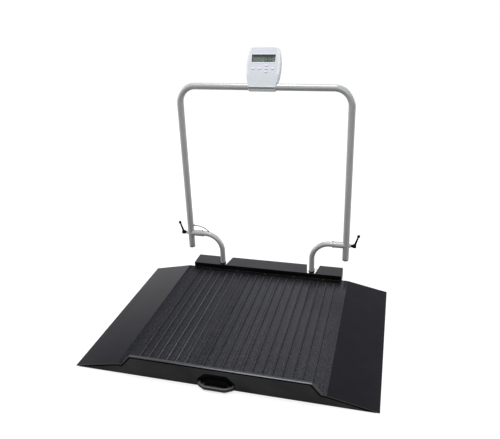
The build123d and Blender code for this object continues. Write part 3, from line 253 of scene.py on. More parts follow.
# Edge wear and highlight: how far the rounded normal leaves the true one, broken up by noise.
# Most finishes lay rubbed wear there, and the cover a painted highlight along its bends.
edge_wear_and_highlight, (radius, size), made = effect("edge_wear_and_highlight_mask", {"Radius": 0.001, "Size": 120.0})
normals = {
    0: node(edge_wear_and_highlight, "ShaderNodeBevel", {"Radius": radius}, samples=4).outputs[0],
    1: node(edge_wear_and_highlight, "ShaderNodeNewGeometry").outputs["Normal"],
}
along = node(edge_wear_and_highlight, "ShaderNodeVectorMath", normals, operation="DOT_PRODUCT").outputs["Value"]
uneven = noise(edge_wear_and_highlight, place_of(edge_wear_and_highlight), size).rise(0.3, 0.55)
(Number(edge_wear_and_highlight, along).rise(0.995, 0.86) * uneven).into(made["Mask"])

# Dust: it lies in patches where a surface faces up
dusty, (size,), made = effect("settled_dust", {"Size": 14.0})
patches = noise(dusty, place_of(dusty), size, 5.0).rise(0.4, 0.75)
(facing_up(dusty).rise(0.75, 0.98) * patches).into(made["Mask"])

# Upper faces: where a surface faces up and lies above a height. Finishes lay their painted top
# sheen there.
upper_faces, (least_height,), made = effect("upper_faces", {"Above": -1.0})
high_enough = parts_of(upper_faces)[2] > least_height
(facing_up(upper_faces).rise(0.6, 0.95) * high_enough).into(made["Mask"])


def placed(tree, effect_tree, **values):
    """A node group set into a material with its own values: its output numbers."""
    inputs = {label.replace("_", " "): value for label, value in values.items()}
    group = node(tree, "ShaderNodeGroup", inputs, node_tree=effect_tree)
    return [Number(tree, socket) for socket in group.outputs]


def layered(tree, under, over, mask, share):
    """A colour laid over another where the mask is high, at most by this share. Each is a socket,
    a colour or one number for a plain grey."""
    mix = node(tree, "ShaderNodeMix", {0: mask * share}, data_type="RGBA")
    for socket, colour in ((mix.inputs[6], under), (mix.inputs[7], over)):
        colour = (colour,) * 3 if isinstance(colour, float) else colour
        fed(tree, socket, (*colour, 1.0) if isinstance(colour, tuple) else colour)
    return mix.outputs[2]


def coated(paint, weight, roughness, ior=1.5):
    """Gives a finish a clear coat whose weight is a plain number, a mask or a group's mask."""
    tree = paint.node_tree
    shader = tree.nodes["Principled BSDF"].inputs
    if isinstance(weight, bpy.types.NodeTree):
        weight = placed(tree, weight)[0]
    fed(tree, shader["Coat Weight"], weight)
    shader["Coat Roughness"].default_value = roughness
    shader["Coat IOR"].default_value = ior


dust_grey = (0.32, 0.31, 0.30)


def surface(name, colour, other, roughness, spread=0.06, metallic=0.0, specular=0.5, cloud_size=8.0,
            grain=900.0, depth=0.00004, flecks=None, fleck_start=0.56, edges=None, dust=None,
            painted_top_sheen=None, tint=(1.0, 1.0, 1.0), sheen=0.0):
    """A finish of clouds between two colours, with a fine bump and, where given, flecks, pale
    edges, dust and a painted sheen on upper faces, a colour and a clear coat laid there as painted
    light. flecks is (colour, share), edges is (colour, share, radius), dust is a share, and the
    painted top sheen is (share, roughness, colour, height)."""
    paint = bpy.data.materials.new(name)
    paint.use_nodes = True
    tree = paint.node_tree
    shader = tree.nodes["Principled BSDF"].inputs
    shader["Metallic"].default_value = metallic
    shader["Specular IOR Level"].default_value = specular
    shader["Specular Tint"].default_value = (*tint, 1.0)
    shader["Sheen Weight"].default_value = sheen
    shader["Sheen Roughness"].default_value = 0.5
    cloud, = placed(tree, clouds, Size=cloud_size)
    across, along, up = np.broadcast_to(grain, 3).tolist()
    height, fleck = placed(tree, texture, Across_X=across, Along_Y=along, Up_Z=up, Fleck_Start=fleck_start)
    tone = layered(tree, colour, other, cloud, 1.0)
    if flecks:
        tone = layered(tree, tone, flecks[0], fleck, flecks[1])
    if edges:
        tone = layered(tree, tone, edges[0], placed(tree, edge_wear_and_highlight, Radius=edges[2])[0], edges[1])
    if dust:
        tone = layered(tree, tone, dust_grey, placed(tree, dusty)[0], dust)
    # Painted sheen: upper faces above the height get a colour of their own and a clear coat
    if painted_top_sheen:
        lying, = placed(tree, upper_faces, Above=painted_top_sheen[3])
        tone = layered(tree, tone, painted_top_sheen[2], lying, 1.0)
        coated(paint, lying * painted_top_sheen[0], painted_top_sheen[1])
    tree.links.new(tone, shader["Base Color"])
    (cloud * (2.0 * spread) + (roughness - spread)).into(shader["Roughness"])
    bump = node(tree, "ShaderNodeBump", {"Strength": 1.0, "Distance": depth, "Height": height})
    tree.links.new(bump.outputs["Normal"], shader["Normal"])
    return paint


def tube(rings, looped=False):
    """One closed skin from an (n, m, 3) grid of rings: quads between rings, and a fan round the
    middle of each end ring, unless the rings are looped back to the first."""
    count, sides = rings.shape[:2]
    grid = np.arange(count * sides).reshape(count, sides)
    here, after = (grid, np.roll(grid, -1, axis=0)) if looped else (grid[:-1], grid[1:])
    quads = np.stack([here, after, np.roll(after, -1, axis=1), np.roll(here, -1, axis=1)], axis=-1)
    corners, faces = rings.reshape(-1, 3), quads.reshape(-1, 4).tolist()
    if not looped:
        corners = np.concatenate([corners, rings[[0, -1]].mean(axis=1)])
        first, last = grid[0], grid[-1]
        middles = np.full(sides, count * sides)
        faces += np.stack([first, np.roll(first, -1), middles], axis=-1).tolist()
        faces += np.stack([np.roll(last, -1), last, middles + 1], axis=-1).tolist()
    return corners, faces


def skin_volume(corners, faces):
    """Volume inside a closed skin: the sum over its triangles of corner, corner and corner mixed."""
    total = 0.0
    for size in (3, 4):
        picked = np.array([face for face in faces if len(face) == size], dtype=int).reshape(-1, size)
        for index in range(1, size - 1):
            first, second, third = (corners[picked[:, k]] for k in (0, index, index + 1))
            total += float(np.einsum("ij,ij->", first, np.cross(second, third))) / 6.0
    return total


def piece(name, skins, body, paint, stands_for=(), sharp=38.0):
    """Makes one object from closed skins, each turned to face outwards, and gives it its body,
    finish and the solids that it stands for."""
    mesh = bpy.data.meshes.new(name)
    all_corners, all_faces, start = [], [], 0
    for corners, faces in skins:
        if skin_volume(corners - corners.mean(axis=0), faces) < 0.0:
            faces = [face[::-1] for face in faces]
        all_corners.append(corners)
        all_faces += [[start + corner for corner in face] for face in faces]
        start += len(corners)
    mesh.from_pydata(np.concatenate(all_corners).tolist(), [], all_faces)
    mesh.materials.append(paint)
    mesh.shade_smooth()
    mesh.set_sharp_from_angle(angle=math.radians(sharp))
    made_object = bpy.data.objects.new(name, mesh)
    scene.collection.objects.link(made_object)
    if body:
        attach(made_object, body)
    if stands_for:
        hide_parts(*stands_for)
    return made_object


def circle(radius, sides=40):
    """Points of a circle in its own plane: radius times cosine and sine of even steps."""
    turn = np.linspace(0.0, 2.0 * np.pi, sides, endpoint=False)
    return radius * np.stack([np.cos(turn), np.sin(turn)], axis=-1)


def carried(path_points, section, normal):
    """Rings of a section carried along a flat path: its first number runs along the path's plane
    normal and its second square to both that and the path's own direction."""
    onward = np.gradient(path_points, axis=0)
    onward /= np.linalg.norm(onward, axis=1)[:, None]
    aside = np.cross(onward, normal)
    return (path_points[:, None] + section[None, :, :1] * normal[None, None]
            + section[None, :, 1:] * aside[:, None])


def smooth_route(name, points):
    """Points along the smooth line that has the given points as its controls."""
    curve = bpy.data.curves.new(name, "CURVE")
    curve.dimensions = "3D"
    curve.resolution_u = 12
    line = curve.splines.new("NURBS")
    line.points.add(len(points) - 1)
    line.points.foreach_set("co", np.array([(*point, 1.0) for point in points]).ravel())
    line.order_u = 3
    line.use_endpoint_u = True
    holder = bpy.data.objects.new(name, curve)
    flat = bpy.data.meshes.new_from_object(holder)
    found = np.empty(3 * len(flat.vertices))
    flat.vertices.foreach_get("co", found)
    bpy.data.objects.remove(holder)
    bpy.data.meshes.remove(flat)
    return found.reshape(-1, 3)


cable_paint = surface(
    "cable_sheath", (0.055, 0.056, 0.058), (0.075, 0.076, 0.078), 0.45, grain=2600.0, depth=0.00002)
cable_line = smooth_route("signal_cable_line", cable_points)
signal_cable = piece(
    "signal_cable_sheath", [tube(carried(cable_line, circle(cable_diameter / 2, 20), TOWARDS_BACK))],
    None, cable_paint, ("signal_cable",))
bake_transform(signal_cable)


# Thin lead. It comes out of the right post low down and drops through the top of the rear cover.
lead_points = (
    (0.2385, rail_y, 0.0815),
    (0.2450, rail_y, 0.0815),
    (0.2525, rail_y, 0.0767),
    (0.2525, rail_y, 0.0705),
)
lead_radius = 0.0009
lead_line = smooth_route("lead_line", lead_points)
piece("right_lead_sheath", [tube(carried(lead_line, circle(lead_radius, 14), TOWARDS_BACK))],
      "platform", cable_paint, ("right_lead",))


# Grommets. Small rubber collars with a lip, pressed into the holes that the cable and the lead
# pass through: one in the left leg, two in the posts and one in the top of the cover.
cable_hole, lead_hole = 0.0037, 0.0023
grommet_rubber = surface("grommet_rubber", (0.20, 0.20, 0.205), (0.25, 0.25, 0.255), 0.6, grain=1800.0)


def turned(profile, start, axis, sides=36):
    """Rings of a turned shape: the profile's first number runs along the axis from the start, and
    its second is the radius of the ring there."""
    axis = np.array(axis, dtype=float)
    axis /= np.linalg.norm(axis)
    helper = np.array((0.0, 0.0, 1.0)) if abs(axis[2]) < 0.9 else np.array((1.0, 0.0, 0.0))
    first = np.cross(helper, axis)
    first /= np.linalg.norm(first)
    second = np.cross(axis, first)
    profile = np.array(profile, dtype=float)
    ring = circle(1.0, sides)
    spokes = ring[:, :1] * first + ring[:, 1:] * second
    return np.array(start) + profile[:, None, :1] * axis + profile[:, None, 1:] * spokes[None]


def grommet(mouth, inward, radius, length, lip=0.0009):
    """A turned collar whose lip stands round the mouth and whose stem goes in by the length."""
    profile = [
        (-0.0005, radius * 0.62), (-0.0012, radius * 0.72), (-0.0014, radius * 0.9),
        (-0.0010, radius + lip * 0.7), (-0.0002, radius + lip), (0.0006, radius + lip * 0.8),
        (0.0010, radius), (length, radius),
    ]
    return tube(turned(profile, mouth, inward, 28))


gland_aim = np.array(cable_points[-1]) - np.array(cable_points[-2])
piece("post_and_cover_grommets", [
    grommet(cable_points[-1], gland_aim, cable_hole, 0.0100),
    grommet(lead_points[0], (-1.0, 0.0, 0.0), lead_hole, 0.0035),
    grommet(lead_points[-1], (0.0, 0.0, -1.0), lead_hole, 0.0038),
], "platform", grommet_rubber, ("grommets",))
piece("leg_cable_grommet", [grommet(cable_points[0], (-1.0, 0.0, 0.0), cable_hole, 0.0069)],
      "rail", grommet_rubber, ("leg_grommet",))


# Deck plate. One steel sheet with nineteen pressed ribs that run from the curb to the rear cover.
# It is coated in a fine-textured black powder coat, whose gloss is painted with light and shade.
front_y = -0.4381
rear_y = front_y + 0.796
skirt_sheet = 0.0025
deck_half = 0.400
deck_top = 0.042
deck_sheet = 0.003
ribs_each_side = 9
rib_pitch = 0.0377
rib_half = 0.0054
rib_flank = 0.0013
rib_height = 0.0020
rib_crown = 0.25
rib_front_y = front_y + 0.020
rib_rear_y = rear_y - 0.042
rib_fade_front = 0.022
rib_fade_rear = 0.007
cup_x = -0.004
cup_cut_half = 0.0773
cup_cut_y = front_y + 0.0143
black_tint = (0.85, 0.85, 1.0)
deck_coat = surface(
    "deck_powder_coat", (0.0055, 0.0055, 0.0088), (0.0085, 0.0085, 0.0125), 0.45, spread=0.05,
    specular=0.02, cloud_size=5.0, grain=320.0, depth=0.0004, flecks=((0.040, 0.043, 0.056), 0.5),
    fleck_start=0.50, dust=0.01, tint=black_tint)

# Rib shade and sheen: the coat's gloss is painted light and shade. It is cut away in painted dark
# lines of shade along each rib's corners, raised to a painted highlight along the ribs on the left,
# grows from left to right as the light falls, and is cut between the ribs near the cover as painted
# shade. It glints in grains, more towards the front.
painted_rib_shade_and_sheen, (grain_scale,), made = effect("painted_rib_shade_and_sheen", {"Grain": 270.0}, "Gloss")
deck_x, deck_y, _ = parts_of(painted_rib_shade_and_sheen)
off = ((deck_x * (1.0 / rib_pitch) + 0.5).fraction() - 0.5) * rib_pitch
other_way = off * -1.0
right_rib_shade = off.strip(rib_half - 0.0006, rib_half + 0.0022) * deck_x.rise(-0.21, -0.10)
left_rib_shade = other_way.strip(rib_half - 0.0006, rib_half + 0.0020) * deck_x.strip(-0.14, 0.13, 0.05)
far_rib_shade = other_way.strip(rib_half - 0.0022, rib_half + 0.0006) * deck_x.rise(-0.06, -0.16)
# Painted shade: dark lines along the corners of the ribs, where the gloss is cut away
foot = right_rib_shade.larger(left_rib_shade.larger(far_rib_shade * 0.8))
# Painted highlight: a light line along the ribs on the left
rib_highlight = off.strip(0.0028, rib_half + 0.0003) * deck_x.rise(-0.08, -0.20)
ribbed = abs(deck_x) < (ribs_each_side + 0.5) * rib_pitch
ribbed = ribbed * deck_y.strip(rib_front_y + 0.003, rib_rear_y + 0.002)
low_places = abs(off).rise(rib_half - 0.001, rib_half + 0.001)
# Painted shade between the ribs near the cover
cover_shade = deck_y.rise(rear_y - 0.105, rear_y - 0.045) * 0.7
kept = 1.0 - foot * ribbed + rib_highlight * ribbed * 4.0 - low_places * cover_shade
# Painted sheen that grows from left to right, as the light falls
left_to_right_sheen = deck_x.rise(-0.40, 0.05) * 1.02 + 0.16
glint = noise(painted_rib_shade_and_sheen, place_of(painted_rib_shade_and_sheen), grain_scale).rise(0.38, 0.62) - 0.5
forward = deck_y.rise(0.0, -0.40) * 0.9 + 0.10
((kept * left_to_right_sheen).larger(0.0) * (glint * forward + 0.82)).into(made["Gloss"])
coated(deck_coat, painted_rib_shade_and_sheen, 0.33, 1.33)


def plate(upper, lower):
    """One closed skin between two grids of the same size, with their four borders joined."""
    rows, columns = upper.shape[:2]
    grid = np.arange(rows * columns).reshape(rows, columns)
    quads = np.stack([grid[:-1, :-1], grid[1:, :-1], grid[1:, 1:], grid[:-1, 1:]], axis=-1).reshape(-1, 4)
    rim = np.concatenate([grid[0], grid[1:, -1], grid[-1, -2::-1], grid[-2:0:-1, 0]])
    onward = np.roll(rim, -1)
    under = rows * columns
    walls = np.stack([rim, onward, onward + under, rim + under], axis=-1)
    corners = np.concatenate([upper.reshape(-1, 3), lower.reshape(-1, 3)])
    return corners, quads.tolist() + (quads[:, ::-1] + under).tolist() + walls.tolist()


def rib_profile(across):
    """Height of the ribs over X: a low dome between two steep flanks, and nothing between ribs.
    A flank is half a cosine wave."""
    nearest = np.clip(np.round(across / rib_pitch), -ribs_each_side, ribs_each_side)
    off = np.abs(across - rib_pitch * nearest)
    flank = 0.5 - 0.5 * np.cos(np.pi * np.clip((rib_half - off) / rib_flank, 0.0, 1.0))
    return flank * (1.0 - rib_crown * (off / rib_half) ** 2)


def rib_ends(along):
    """Share of the ribs' full height over Y: a quarter circle at the rear end, and a long fade in
    front."""
    rise = np.clip((along - rib_front_y) / rib_fade_front, 0.0, 1.0)
    fall = np.clip((rib_rear_y - along) / rib_fade_rear, 0.0, 1.0)
    return (1.0 - (1.0 - rise) ** 2) * np.sqrt(1.0 - (1.0 - fall) ** 2)


step = 0.00001
flank_columns = rib_half - rib_flank * np.linspace(0.0, 1.0, 6)
dome_columns = np.linspace(-1.0, 1.0, 7)[1:-1] * (rib_half - rib_flank)
rib_offsets = np.concatenate([-flank_columns, dome_columns, flank_columns[::-1]])
rib_middles = rib_pitch * np.arange(-ribs_each_side, ribs_each_side + 1)
rib_columns = (rib_middles[:, None] + rib_offsets).ravel()
cut_columns = [cup_x + side * (cup_cut_half + more) for side in (-1, 1) for more in (-step, step)]
columns = np.unique(np.concatenate([[-deck_half, deck_half], cut_columns, rib_columns]))
rows = np.concatenate([
    [front_y + skirt_sheet],
    rib_front_y + rib_fade_front * np.linspace(0.0, 1.0, 7),
    rib_rear_y - rib_fade_rear * (1.0 - np.sin(np.linspace(0.0, np.pi / 2, 7))),
    [rear_y - skirt_sheet],
])
across, along = np.meshgrid(columns, rows)
along[0, np.abs(columns - cup_x) < cup_cut_half] = cup_cut_y
upper = np.stack([across, along, deck_top + rib_height * rib_profile(across) * rib_ends(along)], axis=-1)
lower = np.stack([across, along, np.full_like(across, deck_top - deck_sheet)], axis=-1)
piece("ribbed_deck", [plate(upper, lower)], "platform", deck_coat, ("deck_plate",), sharp=50.0)


# Ramps. Two plates that fall from the deck to the floor, thinned to a rounded toe. They are welded
# along the deck's sides and coated like it, with a smoother texture and a painted sheen that grows
# to the left and to the back.
ramp_toe_x = deck_half + 0.1825
toe_top = 0.0035
toe_edge = 0.0007
ground_gap = 0.002
ramp_coat = surface(
    "ramp_powder_coat", (0.0034, 0.0034, 0.0060), (0.0056, 0.0057, 0.0090), 0.42, spread=0.05,
    specular=0.07, cloud_size=4.0, grain=700.0, depth=0.0001, flecks=((0.03, 0.03, 0.035), 0.2),
    edges=((0.04, 0.04, 0.043), 0.5, 0.0014), dust=0.01, tint=black_tint)
# Painted sheen: the coat's gloss grows to the back and to the left, as the light falls
ramp_painted_sheen, (most,), made = effect("ramp_painted_sheen", {"Most": 0.75}, "Gloss")
ramp_x, ramp_y, _ = parts_of(ramp_painted_sheen)
(ramp_y.rise(-0.42, 0.36) * ramp_x.rise(0.10, -0.30) * most).into(made["Gloss"])
coated(ramp_coat, ramp_painted_sheen, 0.33, 1.33)
reach = np.concatenate([np.linspace(0.0, 0.985, 12), [0.992, 0.997, 1.0]])
fall = np.concatenate([np.linspace(0.0, 0.985, 12), [0.9935, 1.0015, 1.012]])
top_z = np.maximum(deck_top + fall * (toe_top - deck_top), ground_gap + toe_edge)
low_z = deck_top - deck_sheet + reach * (ground_gap - deck_top + deck_sheet)
for side, name in ((-1, "left"), (1, "right")):
    out, along = np.meshgrid(
        side * (deck_half + reach * (ramp_toe_x - deck_half)),
        np.linspace(front_y + skirt_sheet, rear_y - skirt_sheet, 9))
    upper, lower = (np.stack([out, along, np.broadcast_to(z, out.shape)], axis=-1) for z in (top_z, low_z))
    piece(f"{name}_ramp_plate", [plate(upper, lower)], "platform", ramp_coat, (f"{name}_ramp",))


# Front skirt. One sheet from toe to toe with a hollow curb folded along its top and a cut-out for
# the handle. Its bends and cut edges are rounded by the coat and a little rubbed.
# The skirt's coat has a painted sheen on its upper faces, along the top of the curb.
skirt_coat = surface(
    "skirt_powder_coat", (0.0170, 0.0170, 0.0178), (0.0440, 0.0440, 0.0460), 0.45, specular=0.14,
    cloud_size=7.0, depth=0.00008, flecks=((0.02, 0.02, 0.022), 0.15),
    edges=((0.03, 0.03, 0.033), 0.5, 0.0014), dust=0.01, painted_top_sheen=(0.7, 0.35, (0.018, 0.018, 0.021), 0.081))

# Curb's lip: a painted highlight, a pale line along the rounded bend of the top, weaker at the left
lip_highlight_colour = (0.30, 0.32, 0.37)
lip_low = 0.0825
lip_depth = 0.0031
curb_lip_highlight, (least,), made = effect("curb_lip_highlight", {"Least": 0.03})
lip_x, lip_y, lip_z = parts_of(curb_lip_highlight)
steepness = facing_up(curb_lip_highlight)
bent = steepness.rise(0.10, 0.30) * steepness.rise(0.998, 0.985)
bent = bent * (lip_z > lip_low) * (lip_y < front_y + lip_depth)
(bent * lip_x.rise(-0.20, 0.10).larger(least)).into(made["Mask"])


def repainted(paint, *layers):
    """Lays more colours over a finish: each layer is a colour, its mask and its share."""
    tree = paint.node_tree
    base = tree.nodes["Principled BSDF"].inputs["Base Color"]
    tone = base.links[0].from_socket
    for colour, mask, share in layers:
        tone = layered(tree, tone, colour, mask, share)
    tree.links.new(tone, base)


repainted(skirt_coat, (lip_highlight_colour, placed(skirt_coat.node_tree, curb_lip_highlight)[0], 1.0))


def softened(name, solid, body, paint, width, segments=2, limit=35.0):
    """A copy of a solid's mesh with its doubles merged and its flat triangles joined, and with its
    edges rounded to this width. It stands for the solid."""
    mesh = bpy.data.meshes.new(name)
    work = bmesh.new()
    work.from_mesh(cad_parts[solid].data)
    bmesh.ops.remove_doubles(work, verts=work.verts, dist=0.000002)
    bmesh.ops.dissolve_limit(work, angle_limit=math.radians(0.4), verts=work.verts, edges=work.edges)
    work.to_mesh(mesh)
    work.free()
    mesh.materials.clear()
    mesh.materials.append(paint)
    mesh.shade_smooth()
    mesh.set_sharp_from_angle(angle=math.radians(limit))
    copy = bpy.data.objects.new(name, mesh)
    scene.collection.objects.link(copy)
    rounding = copy.modifiers.new("rounded_edges", "BEVEL")
    rounding.width = width
    rounding.segments = segments
    rounding.limit_method = "ANGLE"
    rounding.angle_limit = math.radians(limit)
    rounding.harden_normals = True
    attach(copy, body)
    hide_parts(solid)


softened("front_skirt_sheet", "front_skirt", "platform", skirt_coat, 0.0007, 3)
softened("rear_skirt_sheet", "rear_skirt", "platform", skirt_coat, 0.0006)


# Front shade line. A thin black bead of painted shade under the edge of the curb, the deck and the
# ramps, where the top sheet meets the skirt.
shade_line_half = 0.0023
shade_line_proud = 0.0004
shade_line_depth = 0.0010
shade_line_right = np.array([(0.552, 0.0054), (0.400, 0.0370), (0.3801, 0.0370), (0.3431, 0.0804)])
shade_line_section = (
    (1.0, -0.4 * shade_line_proud), (0.8, -shade_line_proud), (-0.8, -shade_line_proud), (-1.0, -0.4 * shade_line_proud),
    (-1.0, shade_line_depth), (1.0, shade_line_depth))
# Painted shade: a black bead in the gap under the front edge
shade_line_black = surface("shade_line_black", 0.0006, 0.0010, 0.7, specular=0.0, depth=0.00003)
shade_line_route = np.concatenate([shade_line_right * (-1.0, 1.0), shade_line_right[::-1]])
shade_line_runs = np.diff(shade_line_route, axis=0)
shade_line_runs /= np.linalg.norm(shade_line_runs, axis=1, keepdims=True)
before, after = np.vstack([shade_line_runs[:1], shade_line_runs]), np.vstack([shade_line_runs, shade_line_runs[-1:]])
mitre = before + after
mitre /= np.sum(mitre * before, axis=1, keepdims=True)
across_line = np.column_stack([-mitre[:, 1], mitre[:, 0]]) * shade_line_half
shade_line_rings = [
    np.insert(shade_line_route + share * across_line, 1, front_y + deep, axis=1) for share, deep in shade_line_section]
piece("front_shade_line_bead", [tube(np.stack(shade_line_rings, axis=1))], "platform", shade_line_black)


# Underside. Welded square tubes carry the deck, gussets stand under the ramps, and both are plain
# black paint with bare-looking weld seams.
frame_paint = surface(
    "frame_paint", (0.020, 0.020, 0.021), (0.034, 0.034, 0.035), 0.42, cloud_size=14.0, grain=500.0,
    edges=(0.11, 0.4, 0.0012))


def recoat(solid, paint):
    """Gives a solid's own object a finish."""
    shown_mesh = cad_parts[solid].data
    shown_mesh.materials.clear()
    shown_mesh.materials.append(paint)


recoat("ramp_gussets", frame_paint)
softened("frame_tubes", "frame_beams", "platform", frame_paint, 0.0012, 3)


# Load cells. Machined alloy beams, each bolted to the deck at its inner end, with a foot's stud
# screwed into the outer end.
cell_alloy = surface(
    "milled_alloy", (0.52, 0.52, 0.53), (0.62, 0.62, 0.63), 0.34, metallic=1.0, cloud_size=30.0,
    grain=(2400.0, 160.0, 2400.0), depth=0.00002, edges=(0.8, 0.5, 0.0006))
softened("load_cell_beams", "load_cells", "platform", cell_alloy, 0.0005)


# Levelling feet. A turned steel pad with a rubber-grey sole on a rolled thread, one in each
# corner, locked by a nut under the load cell.
zinc = surface(
    "zinc_plating", (0.50, 0.50, 0.47), (0.62, 0.62, 0.58), 0.36, metallic=1.0, cloud_size=60.0,
    grain=1500.0, depth=0.00002, edges=((0.75, 0.75, 0.72), 0.5, 0.0005))
foot_x = 0.345
foot_from_edge = 0.055
stud_radius = 0.005
stud_foot, stud_top = 0.005, 0.038
thread_pitch = 0.0015
thread_depth = 0.0005


def mm(*pairs):
    """Points of a profile given in millimetres."""
    return 0.001 * np.array(pairs)


def threaded(start, axis, radius, length, pitch, depth, sides=24, per_turn=6):
    """Rings of a thread: the radius falls by the depth with a cosine whose phase climbs one pitch
    in each turn round the axis."""
    count = int(per_turn * length / pitch)
    ups = np.linspace(0.0, length, count)
    rings = turned(np.stack([ups, np.ones(count)], axis=-1), start, axis, sides)
    centre = np.array(start) + ups[:, None] * np.array(axis, dtype=float)
    phase = 2.0 * np.pi * (ups[:, None] / pitch - np.arange(sides)[None] / sides)
    fade = np.clip(np.minimum(ups, length - ups) / pitch, 0.0, 1.0)[:, None]
    reach = radius - depth * fade * (0.5 + 0.5 * np.cos(phase)) - 0.3 * depth * (1.0 - fade)
    return centre[:, None] + (rings - centre[:, None]) * reach[..., None]


foot_profile = mm(
    (0, 18.5), (0.3, 20.5), (1.2, 22), (3, 22), (3.6, 21.3), (4.2, 18), (5, 10), (5.6, 7.5), (6, 7),
    (6.6, 5.8), (6.7, 4))
for y_name, foot_y in (("front", front_y + foot_from_edge), ("rear", rear_y - foot_from_edge)):
    for side, x_name in ((-1, "left"), (1, "right")):
        foot = f"{y_name}_{x_name}_foot"
        piece(f"{foot}_pad_and_stud", [
            tube(turned(foot_profile, (side * foot_x, foot_y, 0.0), (0, 0, 1), 40)),
            tube(threaded((side * foot_x, foot_y, stud_foot), (0, 0, 1), stud_radius, stud_top - stud_foot,
                          thread_pitch, thread_depth)),
        ], f"foot_{y_name}_{x_name}", zinc, (foot,))
softened("foot_lock_nuts", "foot_nuts", "platform", zinc, 0.0006)


# Junction box. A moulded box on the underside that gathers the load cells' cables, with its board
# inside and a screwed lid.
box_plastic = surface("moulded_grey", (0.22, 0.225, 0.23), (0.27, 0.275, 0.28), 0.5, grain=1400.0)
board_lacquer = surface(
    "board_lacquer", (0.012, 0.10, 0.045), (0.02, 0.14, 0.06), 0.3, grain=300.0,
    flecks=((0.45, 0.40, 0.2), 0.5))
softened("junction_box_shell", "junction_box", "platform", box_plastic, 0.0006)
softened("junction_box_lid", "junction_lid", "platform", box_plastic, 0.0006)
recoat("junction_board", board_lacquer)
recoat("cell_cables", cable_paint)


# Handle cup. A moulded tray behind the skirt's cut-out, with a block in its middle that the handle
# folds round, and two steel pivots.
black_plastic = surface(
    "black_moulding", (0.0026, 0.0026, 0.0028), (0.0042, 0.0042, 0.0046), 0.5, specular=0.05,
    grain=1300.0, depth=0.00006, edges=(0.018, 0.3, 0.0008))
softened("handle_cup_moulding", "handle_cup", "platform", black_plastic, 0.0005)
pivot_steel = surface(
    "pivot_steel", 0.010, 0.018, 0.45, specular=0.2, cloud_size=90.0, grain=1800.0, depth=0.00002)
recoat("handle_pivots", pivot_steel)


# Carry handle. A cast bail of rounded bar: two ears on the pivots, two slanted runs and a straight
# grip. Its coat is a dark satin grey, with a painted highlight and sheen on its upper faces.
bail_axis = (front_y + 0.0046, 0.0126)
bail_corners = ((0.0655, 0.0150), (0.0655, -0.0050), (0.0390, -0.0210))
bail_turn = 0.0050
bail_half_width = 0.0043
bail_half_height = 0.0070
bail_edge = 0.0020
UP = np.array((0.0, 0.0, 1.0))
bail_metal = surface(
    "cast_alloy", (0.020, 0.020, 0.021), (0.030, 0.030, 0.031), 0.40, specular=0.25, cloud_size=25.0,
    grain=700.0, depth=0.00003, edges=((0.10, 0.10, 0.105), 0.4, 0.0012),
    painted_top_sheen=(0.8, 0.35, (0.12, 0.12, 0.125), -1.0))


def rounded_path(corners, radius, steps=8):
    """Points of a flat path whose corners are replaced by arcs of this radius: each arc starts and
    ends radius times the tangent of half the turn away from its corner."""
    corners = np.array(corners, dtype=float)
    found = [corners[:1]]
    for before, corner, after in zip(corners, corners[1:], corners[2:]):
        inward = (before - corner) / np.linalg.norm(before - corner)
        outward = (after - corner) / np.linalg.norm(after - corner)
        half = 0.5 * (np.pi - np.arccos(np.clip(inward @ outward, -1.0, 1.0)))
        middle = (inward + outward) / np.linalg.norm(inward + outward) * radius / np.cos(half)
        sweep = np.linspace(-half, half, steps)[:, None]
        back = -middle / np.linalg.norm(middle)
        sideways = (outward - inward) / np.linalg.norm(outward - inward)
        found.append(corner + middle + radius * (np.cos(sweep) * back + np.sin(sweep) * sideways))
    found.append(corners[-1:])
    return np.concatenate(found)


def rounded_loop(half_u, half_v, radius, per_corner=7):
    """Points of a rectangle round its middle, with a quarter circle in each corner."""
    turn = np.linspace(0.0, 0.5 * np.pi, per_corner)
    found = []
    for corner, (su, sv) in enumerate(((1, 1), (-1, 1), (-1, -1), (1, -1))):
        a = turn + corner * 0.5 * np.pi
        found.append(np.stack([
            su * (half_u - radius) + radius * np.cos(a),
            sv * (half_v - radius) + radius * np.sin(a)], axis=-1))
    return np.concatenate(found)


ear_y, ear_z = bail_axis
half_bail = [(cup_x + x, front_y + y) for x, y in bail_corners]
bail_route = half_bail + [(2 * cup_x - x, y) for x, y in reversed(half_bail)]
bail_line = rounded_path(bail_route, bail_turn)
ears = ear_y + bail_half_height * np.sin(np.linspace(0.0, 0.5 * np.pi, 9))[:-1]
first_ear, last_ear = (np.column_stack([np.full(len(ears), bail_route[end][0]), ears]) for end in (0, -1))
bail_line = np.concatenate([first_ear[::-1], bail_line[1:-1], last_ear])
bail_line = np.column_stack([bail_line, np.full(len(bail_line), ear_z)])
bail_rings = carried(bail_line, rounded_loop(bail_half_height, bail_half_width, bail_edge, 6), UP)
past = np.clip((bail_line[:, 1] - ear_y) / bail_half_height, 0.0, 0.999)
squeeze = np.sqrt(1.0 - past ** 2)[:, None]
bail_rings[..., 2] = ear_z + (bail_rings[..., 2] - ear_z) * squeeze
piece("carry_handle_bail", [tube(bail_rings)], "bail", bail_metal, ("carry_handle",))


# Pivot bushes. A thin flanged bush of tan nylon on each pivot, between the handle's ear and the
# block in the middle of the cup.
bush_tan = surface(
    "bush_tan", (0.13, 0.10, 0.07), (0.18, 0.14, 0.10), 0.5, specular=0.15, cloud_size=90.0,
    grain=1800.0, depth=0.00002)
bush_profile = mm(
    (60, 2.52), (60, 2.8), (60.4, 3.1), (61.2, 3.2), (61.8, 3.1), (61.9, 2.8), (61.9, 2.52))
piece("handle_pivot_bushes", [
    tube(turned(bush_profile, (cup_x, *bail_axis), (side, 0, 0), 28), looped=True) for side in (-1, 1)
], "bail", bush_tan)


